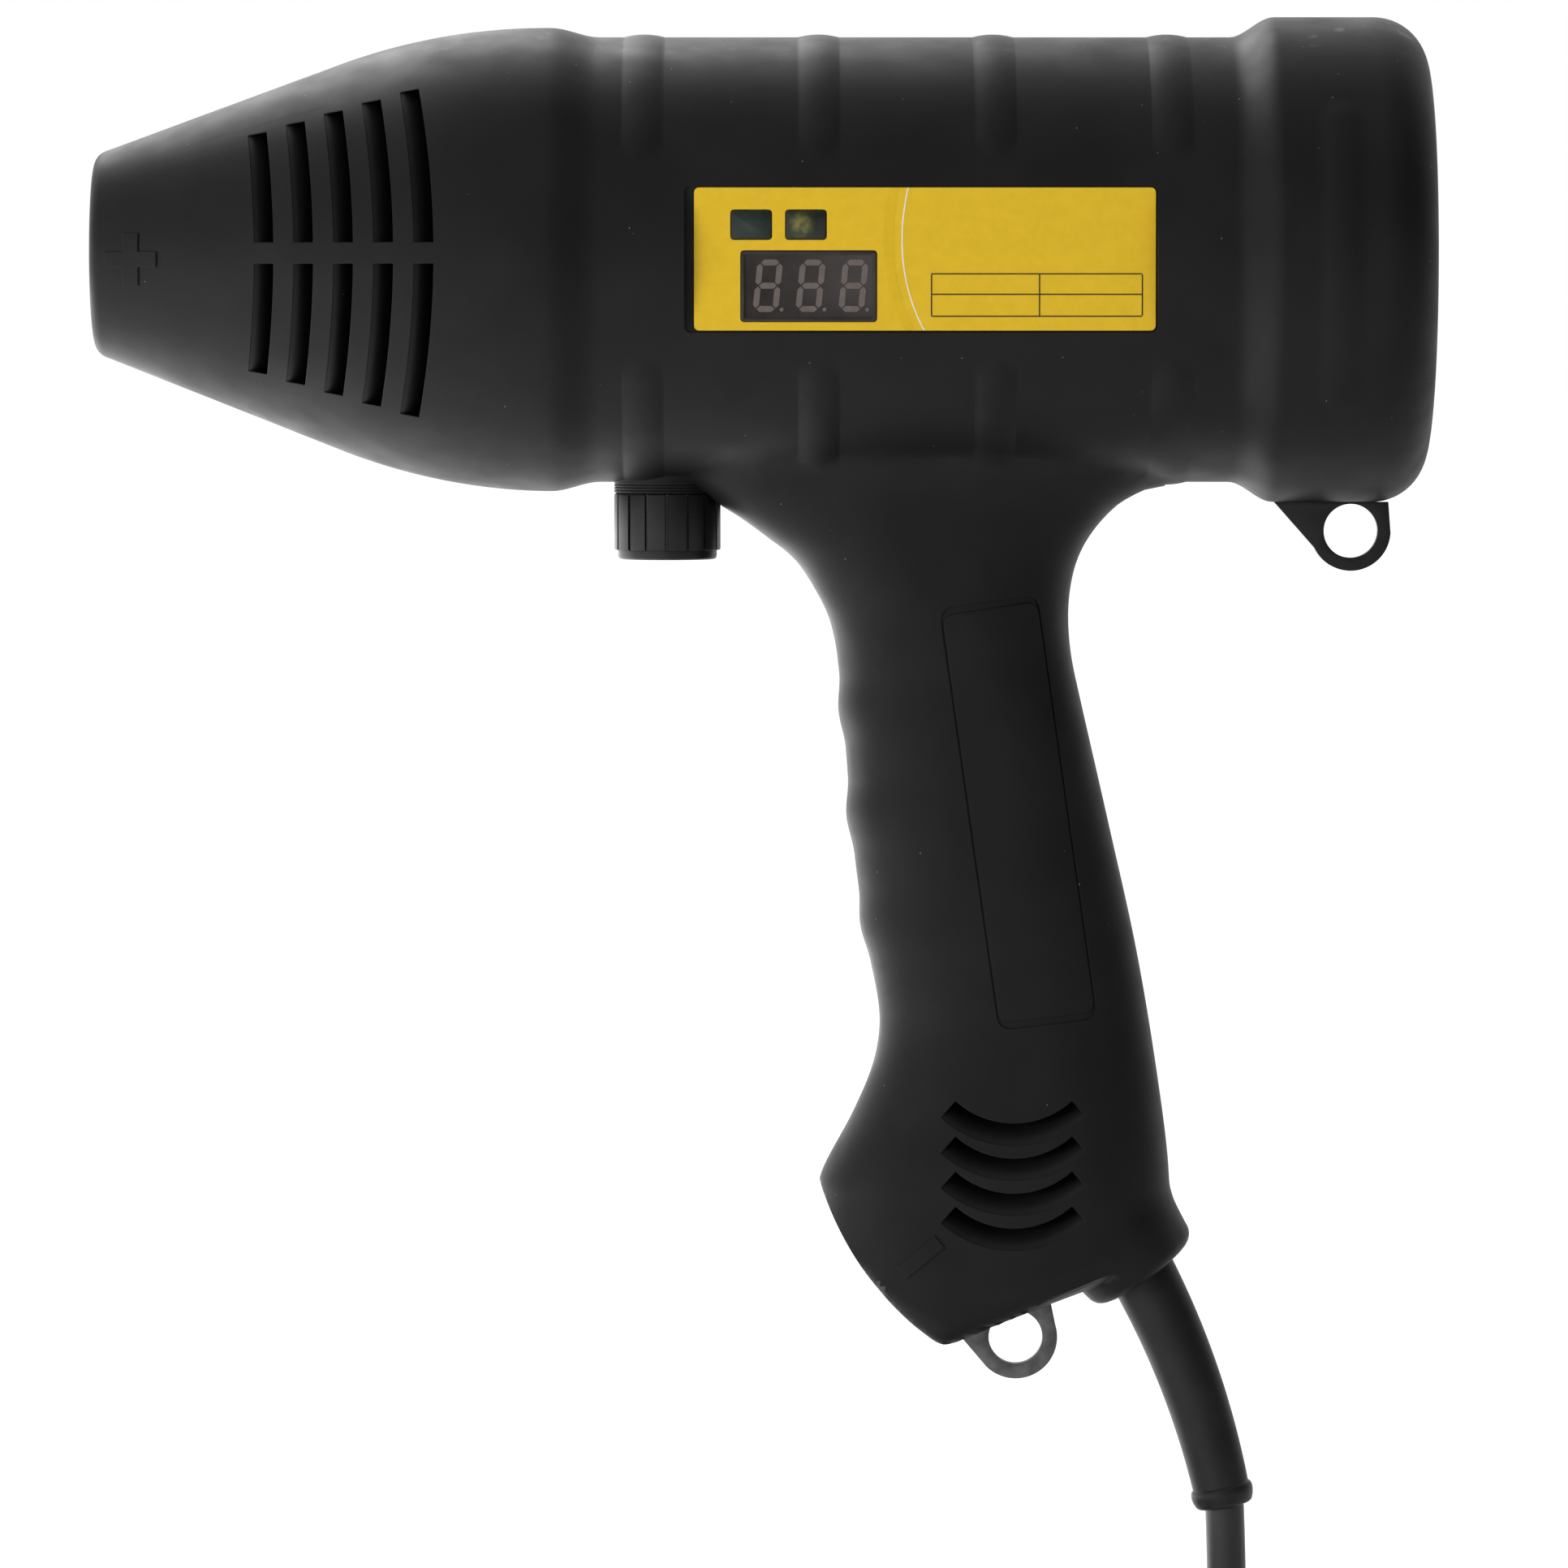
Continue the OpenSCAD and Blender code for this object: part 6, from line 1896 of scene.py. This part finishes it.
    def half(self, whole: Mesh, side: Side) -> Mesh:
        """One half with everything that both halves have.

        Args:
            whole: The hollow housing, which is freed.
            side: Which half to keep.

        Returns:
            The half.
        """
        s = side.value
        posts = []
        for x, z, reach in self.bosses():
            lift = self.barrel.lift(x)
            posts.append(rod(self.boss_r - 0.7 * lift, (x, 0, z), (x, s * (reach - 2.4 * lift), z), 40))
        shape = carve(whole, Op.JOIN, *posts)
        low, high = (-FAR, self.seam) if side is Side.RIGHT else (-self.seam, FAR)
        away = block((-FAR, low, -FAR), (FAR, high, FAR))
        slots, seats = merged(*self.vents.cutters(side)), merged(*self.seats())
        shape = carve(shape, Op.CUT, away, slots, seats, self.lug_slot(handle_lug_frame()))
        return carve(shape, Op.JOIN, *self.vents.blades(side))

    def left(self) -> Piece:
        """The left half with the label pocket, windows, engraved frame and marks.

        Returns:
            The finished half.
        """
        p, (front, rear), half = self.panel, self.pad_ends, self.pad_half
        x, z = p.centre
        shape = carve(self.half(self.solid(), Side.LEFT), Op.JOIN, self.marks())
        pad = block((x - front, -p.floor_y, z - half), (x + rear, -p.floor_y + self.pad_t, z + half))
        shape = carve(shape, Op.JOIN, pad)
        windows = [prism(o, OUT, -35) for o in p.windows(p.fit, 0.3)]
        pocket = prism(p.pocket(), OUT, -p.floor_y)
        shape = carve(shape, Op.CUT, pocket, merged(*windows), self.frame_groove())
        return make_piece("left_shell", shape, SHELL, ["left_housing"], sharp=40)

    def right(self) -> Piece:
        """The right half with the screw holes.

        Returns:
            The finished half.
        """
        turn = Matrix.Rotation(-pi / 2, 4, "X")
        holes = []
        for x, z, reach in self.bosses():
            hole = spun(stepped((self.screw_r, self.head_r), (-1.0, reach / 2, 90.0)), 48)
            holes.append(placed(hole, Matrix.Translation((x, 0, z)) @ turn))
        shape = carve(self.half(self.solid(), Side.RIGHT), Op.CUT, merged(*holes))
        return make_piece("right_shell", shape, SHELL, ["right_housing"], sharp=40)

    def build(self) -> None:
        """Make both halves."""
        self.left()
        self.right()


def rear_lug_frame(barrel: BarrelShape) -> Matrix:
    """Place of the lug under the rear cap, whose own Z points into the cap."""
    return Matrix.Translation((barrel.rear_x - 16, 0, barrel.axis_h - barrel.cap_r))


def handle_lug_frame() -> Matrix:
    """Place of the lug under the grip, whose own Z points into the base."""
    return Matrix.Translation((5.88, 0, -106.07)) @ Matrix.Rotation(radians(-20.3), 4, "Y")


# Pieces on the outside


@dataclass(frozen=True)
class ControlPanel:
    """Printed label with the display and indicator lenses behind its windows."""

    shape: PanelShape = PanelShape()
    ink_t: float = 0.03
    line_w: float = 0.28
    arc_w: float = 0.28
    band: Pair = (2.2, -2.9)
    rows: tuple[float, ...] = (-3.1, -7.4, -12.0)
    posts: tuple[float, ...] = (1.4, 24.1, 45.7)
    digit: Pair = (5.4, 11.0)
    digit_pitch: float = 9.0
    stroke: float = 1.25
    slant: float = 0.1
    breaks: float = 0.18
    dot_r: float = 0.4
    sunk: float = 0.3
    depth: float = 7.0

    def label(self) -> None:
        """Cut the film and print on it."""
        p = self.shape
        film = prism(filleted(box_outline(p.centre, p.length, p.height), p.corner), -p.face_y, -p.floor_y)
        film = carve(film, Op.CUT, merged(*[prism(o, OUT, -30) for o in p.windows(p.fit, 0.9)]))
        make_piece("label_film", film, FILM, ["control_label"])
        x, z = p.centre
        top, low = -p.face_y - self.ink_t, -p.face_y
        arc, band = self.sweep(self.arc_w), self.sweep(*self.band)
        clip = filleted(box_outline(p.centre, p.length - 0.1, p.height - 0.1), p.corner)
        make_piece("label_arc", carve(prism(arc, top, low), Op.KEEP, prism(clip, OUT, -30)), WHITE_INK)
        make_piece("label_band", carve(prism(band, top, low), Op.KEEP, prism(clip, OUT, -30)), BAND_INK)
        bars = [((x + 23.5, z + h), 44.3, self.line_w) for h in self.rows]
        bars += [((x + at, z - 7.55), self.line_w, 8.9 - self.line_w) for at in self.posts]
        grid = prism(box_outline(*bars[0]), top, low)
        for bar in bars[1:]:
            grid = carve(grid, Op.JOIN, prism(box_outline(*bar), top, low))
        make_piece("label_table", grid, BLACK_INK)

    def sweep(self, width: float, shift: float = 0.0) -> Outline:
        """Outline of a curved stripe from the label's top to its bottom.

        Args:
            width: Width of the stripe.
            shift: How far it lies beside the white arc.

        Returns:
            Its outline.
        """
        x, z = self.shape.centre
        line = []
        for k in range(33):
            t = 16.5 - 33 * k / 32
            bend = 0.0107 * (t - 4.0) ** 2 + 0.000115 * max(0.0, 4.0 - t) ** 3
            line.append((x - 4.8 + bend + shift, z + t))
        return [(a - width / 2, h) for a, h in line] + [(a + width / 2, h) for a, h in reversed(line)]

    def bar(self, reach: float) -> Outline:
        """Pointed bar along the first axis, which a digit's strokes are made of.

        Args:
            reach: Half its length.

        Returns:
            The outline.
        """
        half = self.stroke / 2
        inner = reach - half
        return [(-reach, 0.0), (-inner, -half), (inner, -half), (reach, 0.0), (inner, half), (-inner, half)]

    def segments(self) -> list[Mesh]:
        """The unlit strokes and points of three slanted digits.

        Returns:
            One closed mesh for each stroke and point.
        """
        p, (wide, high) = self.shape, self.digit
        aside, up = (wide - self.stroke) / 2, (high - self.stroke) / 4
        level, upright = self.bar(aside - self.breaks), [(-w, u) for u, w in self.bar(up - self.breaks)]
        strokes = [[(u, k * 2 * up + w) for u, w in level] for k in (-1, 0, 1)]
        strokes += [[(k * aside + u, m * up + w) for u, w in upright] for k in (-1, 1) for m in (-1, 1)]
        strokes.append([(wide / 2 + 0.7 + self.dot_r * cos(a), 0.5 - high / 2 + self.dot_r * sin(a))
                        for a in full_turn(20)])
        face = -p.face_y + self.sunk
        made = []
        for i in (-1, 0, 1):
            x, z = p.display_at[0] + i * self.digit_pitch + 0.4, p.display_at[1] + 0.1
            for stroke in strokes:
                leaned = [(x + u + self.slant * w, z + w) for u, w in stroke]
                made.append(prism(leaned, face - 0.05, face + 0.3))
        return made

    def windows(self) -> None:
        """Make the display with its digits, and the two lenses."""
        p, face = self.shape, -self.shape.face_y
        display, *lenses = p.windows(0.0, 0.7)
        rim = filleted(box_outline(p.display_at, p.display[0] - 1.6, p.display[1] - 1.6), 0.6)
        shell = carve(prism(display, face, face + self.depth), Op.CUT, prism(rim, OUT, face + self.sunk))
        make_piece("display_window", bevelled(shell, 0.12), SMOKED, ["display_module"])
        make_piece("display_digits", merged(*self.segments()), SEGMENT)
        first, second = (bevelled(prism(o, face, face + self.depth), 0.25) for o in lenses)
        make_piece("indicator_lens_front", first, LENS_A, ["indicator_lenses"])
        make_piece("indicator_lens_rear", second, LENS_B)

    def build(self) -> None:
        """Make the label and what shows through it."""
        self.label()
        self.windows()


@dataclass(frozen=True)
class CurrentKnob:
    """Grooved knob that turns under the barrel."""

    place: Triple = (-67.1, 0.0, 70.2)
    radius: float = 11.45
    height: float = 14.0
    lip_h: float = 2.0
    lip_in: float = 0.8
    panels: int = 16
    groove_w: float = 0.55
    groove_d: float = 0.5
    bores: tuple[Pair, ...] = ((7.0, 4.0), (3.0, 11.0))

    def ring(self, z: float, inset: float, cut: float) -> list[Vector]:
        """Ring of points at a height.

        Args:
            z: Height below the knob's top.
            inset: How far the ring lies inside the full radius.
            cut: Share of the groove's depth.

        Returns:
            The points in order.
        """
        points = []
        pitch, half = tau / self.panels, self.groove_w / 2 / self.radius
        around = [(-1.4 * half, 0.0), (-half, 1.0), (half, 1.0), (1.4 * half, 0.0)]
        around += [(t * pitch, 0.0) for t in (0.2, 0.4, 0.6, 0.8)]
        for i in range(self.panels):
            for turn, deep in around:
                a, r = i * pitch + turn, self.radius - inset - cut * deep * self.groove_d
                points.append(Vector(self.place) + Vector((cos(a) * r, sin(a) * r, -z)))
        return points

    def build(self) -> Piece:
        """Loft the knob and hollow out its top for the nut.

        Returns:
            The knob.
        """
        h, lip, step = self.height, self.height - self.lip_h, self.lip_in
        rows = [(-0.28, 0.4, 0), (0.0, 0.1, 0.4), (0.3, 0, 1), (lip * 0.5, 0.0, 1), (lip - 0.35, 0.0, 1),
                (lip - 0.1, 0.1, 1), (lip, 0.35, 1), (lip + 0.02, step, 0), (h - 0.8, step, 0),
                (h - 0.35, step + 0.12, 0), (h - 0.1, step + 0.4, 0), (h, step + 0.9, 0), (h, 4.2, 0),
                (h - 0.35, 4.6, 0), (h - 0.35, 10.8, 0)]
        body = lofted([self.ring(*row) for row in rows])
        x, y, z = self.place
        body = carve(body, Op.CUT, *[rod(r, (x, y, z - deep), (x, y, z + 1)) for r, deep in self.bores])
        return make_piece("knob", body, KNOB, ["current_knob"], Body.KNOB, sharp=28)


@dataclass(frozen=True)
class StrapLug:
    """Flat lug with a hole for a strap hook."""

    name: str
    node: str
    frame_at: Matrix = field(compare=False)
    finish: Finish
    hole_r: float = 5.8
    radius: float = 8.6
    thick: float = 3.0
    slant: float = 16.5
    rise: float = 8.1
    drop: float = 6.2
    inside: float = 2.7

    def build(self) -> Piece:
        """Cut the lug from plate and round its edges.

        Returns:
            The lug.
        """
        r, d, half = self.radius, self.drop, self.thick / 2
        turn = [radians(a) for a in range(205, 361, 4)]
        eye = [(r * cos(a), -d + r * sin(a)) for a in turn]
        plate = prism([(-self.slant, 0.0), (-self.slant + 1.0, -1.1), *eye, (self.rise, 0.0)], -half, half)
        neck = block((-7.0, -half + 0.02, -1), (3.0, half - 0.02, self.inside + 1))
        head = block((-9.5, -half, self.inside), (5.0, half, self.inside + 2.5))
        hole = rod(self.hole_r, (0, -5, -d), (0, 5, -d), 72)
        plate = bevelled(carve(carve(plate, Op.JOIN, neck, head), Op.CUT, hole), 0.35, 3, 50)
        return make_piece(self.name, placed(plate, self.frame_at), self.finish, [self.node], sharp=40)


@dataclass(frozen=True)
class Fittings:
    """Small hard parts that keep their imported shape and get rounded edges."""

    rounded: tuple[tuple[str, str, Finish, float], ...] = (
        ("intake_grille", "rear_grille", GRILLE, 0.4),
        ("nose_socket", "front_socket_shell", SOCKET, 0.3),
        ("nose_contact", "front_socket_insert", BRASS, 0.25),
        ("base_socket", "ground_socket_shell", SOCKET, 0.3),
        ("base_contact", "ground_socket_insert", BRASS, 0.25),
        ("shell_screws", "housing_screws", ZINC, 0.2),
        ("fan_casing", "fan_frame", FAN_PLASTIC, 0.4),
    )
    dressed: tuple[tuple[str, Finish], ...] = (
        ("display_board", BOARD), ("display_screws", ZINC), ("knob_shaft", POT_METAL),
        ("potentiometer", POT_METAL), ("potentiometer_nut", ZINC), ("front_socket_nut", SOCKET),
        ("ground_socket_nut", SOCKET), ("stud_nuts", ZINC), ("fan_bearing", BRONZE), ("fan_stator", WIRE),
        ("fan_screws", ZINC), ("main_board", BOARD), ("board_screws", ZINC),
        ("transistor_heatsink", ALUMINIUM), ("transistors", EPOXY), ("bridge_rectifier", EPOXY),
        ("bulk_capacitors", CAN), ("transformer_core", FERRITE), ("transformer_winding", TAPE),
        ("choke_core", FERRITE), ("choke_winding", WIRE), ("diode_heatsink", ALUMINIUM),
        ("output_diodes", EPOXY), ("output_busbar", SHRUNK), ("ground_lug", TIN),
        ("ground_lead", LEAD_BLACK), ("mains_leads", LEAD_BROWN),
    )

    def build(self) -> None:
        """Round the edges of what can be seen, and finish the rest."""
        for name, node, finish, width in self.rounded:
            make_piece(name, bevelled(cad_copy(node), width), finish, [node])
        make_piece("fan_wheel", bevelled(cad_copy("fan_rotor"), 0.3), FAN_PLASTIC, ["fan_rotor"], Body.FAN)
        for node, finish in self.dressed:
            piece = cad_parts[node]
            for held in piece.material_slots:
                held.material = finish.material()
            LOG.info("%s: packed mesh, %s", node, finish.name)


def main() -> None:
    """Build the scene, piece by piece."""
    logging.basicConfig(level=logging.INFO, format="%(message)s")
    studio = Studio()
    studio.place_camera()
    MainsCord().build()
    studio.lay_floor()
    studio.light()
    housing = Housing()
    housing.build()
    ControlPanel().build()
    CurrentKnob().build()
    StrapLug("rear_lug", "rear_strap_lug", rear_lug_frame(housing.barrel), COATED).build()
    StrapLug("handle_lug", "handle_strap_lug", handle_lug_frame(), STEEL,
             radius=9.0, slant=12.4, rise=10.0).build()
    Fittings().build()


if __name__ == "__main__":
    main()
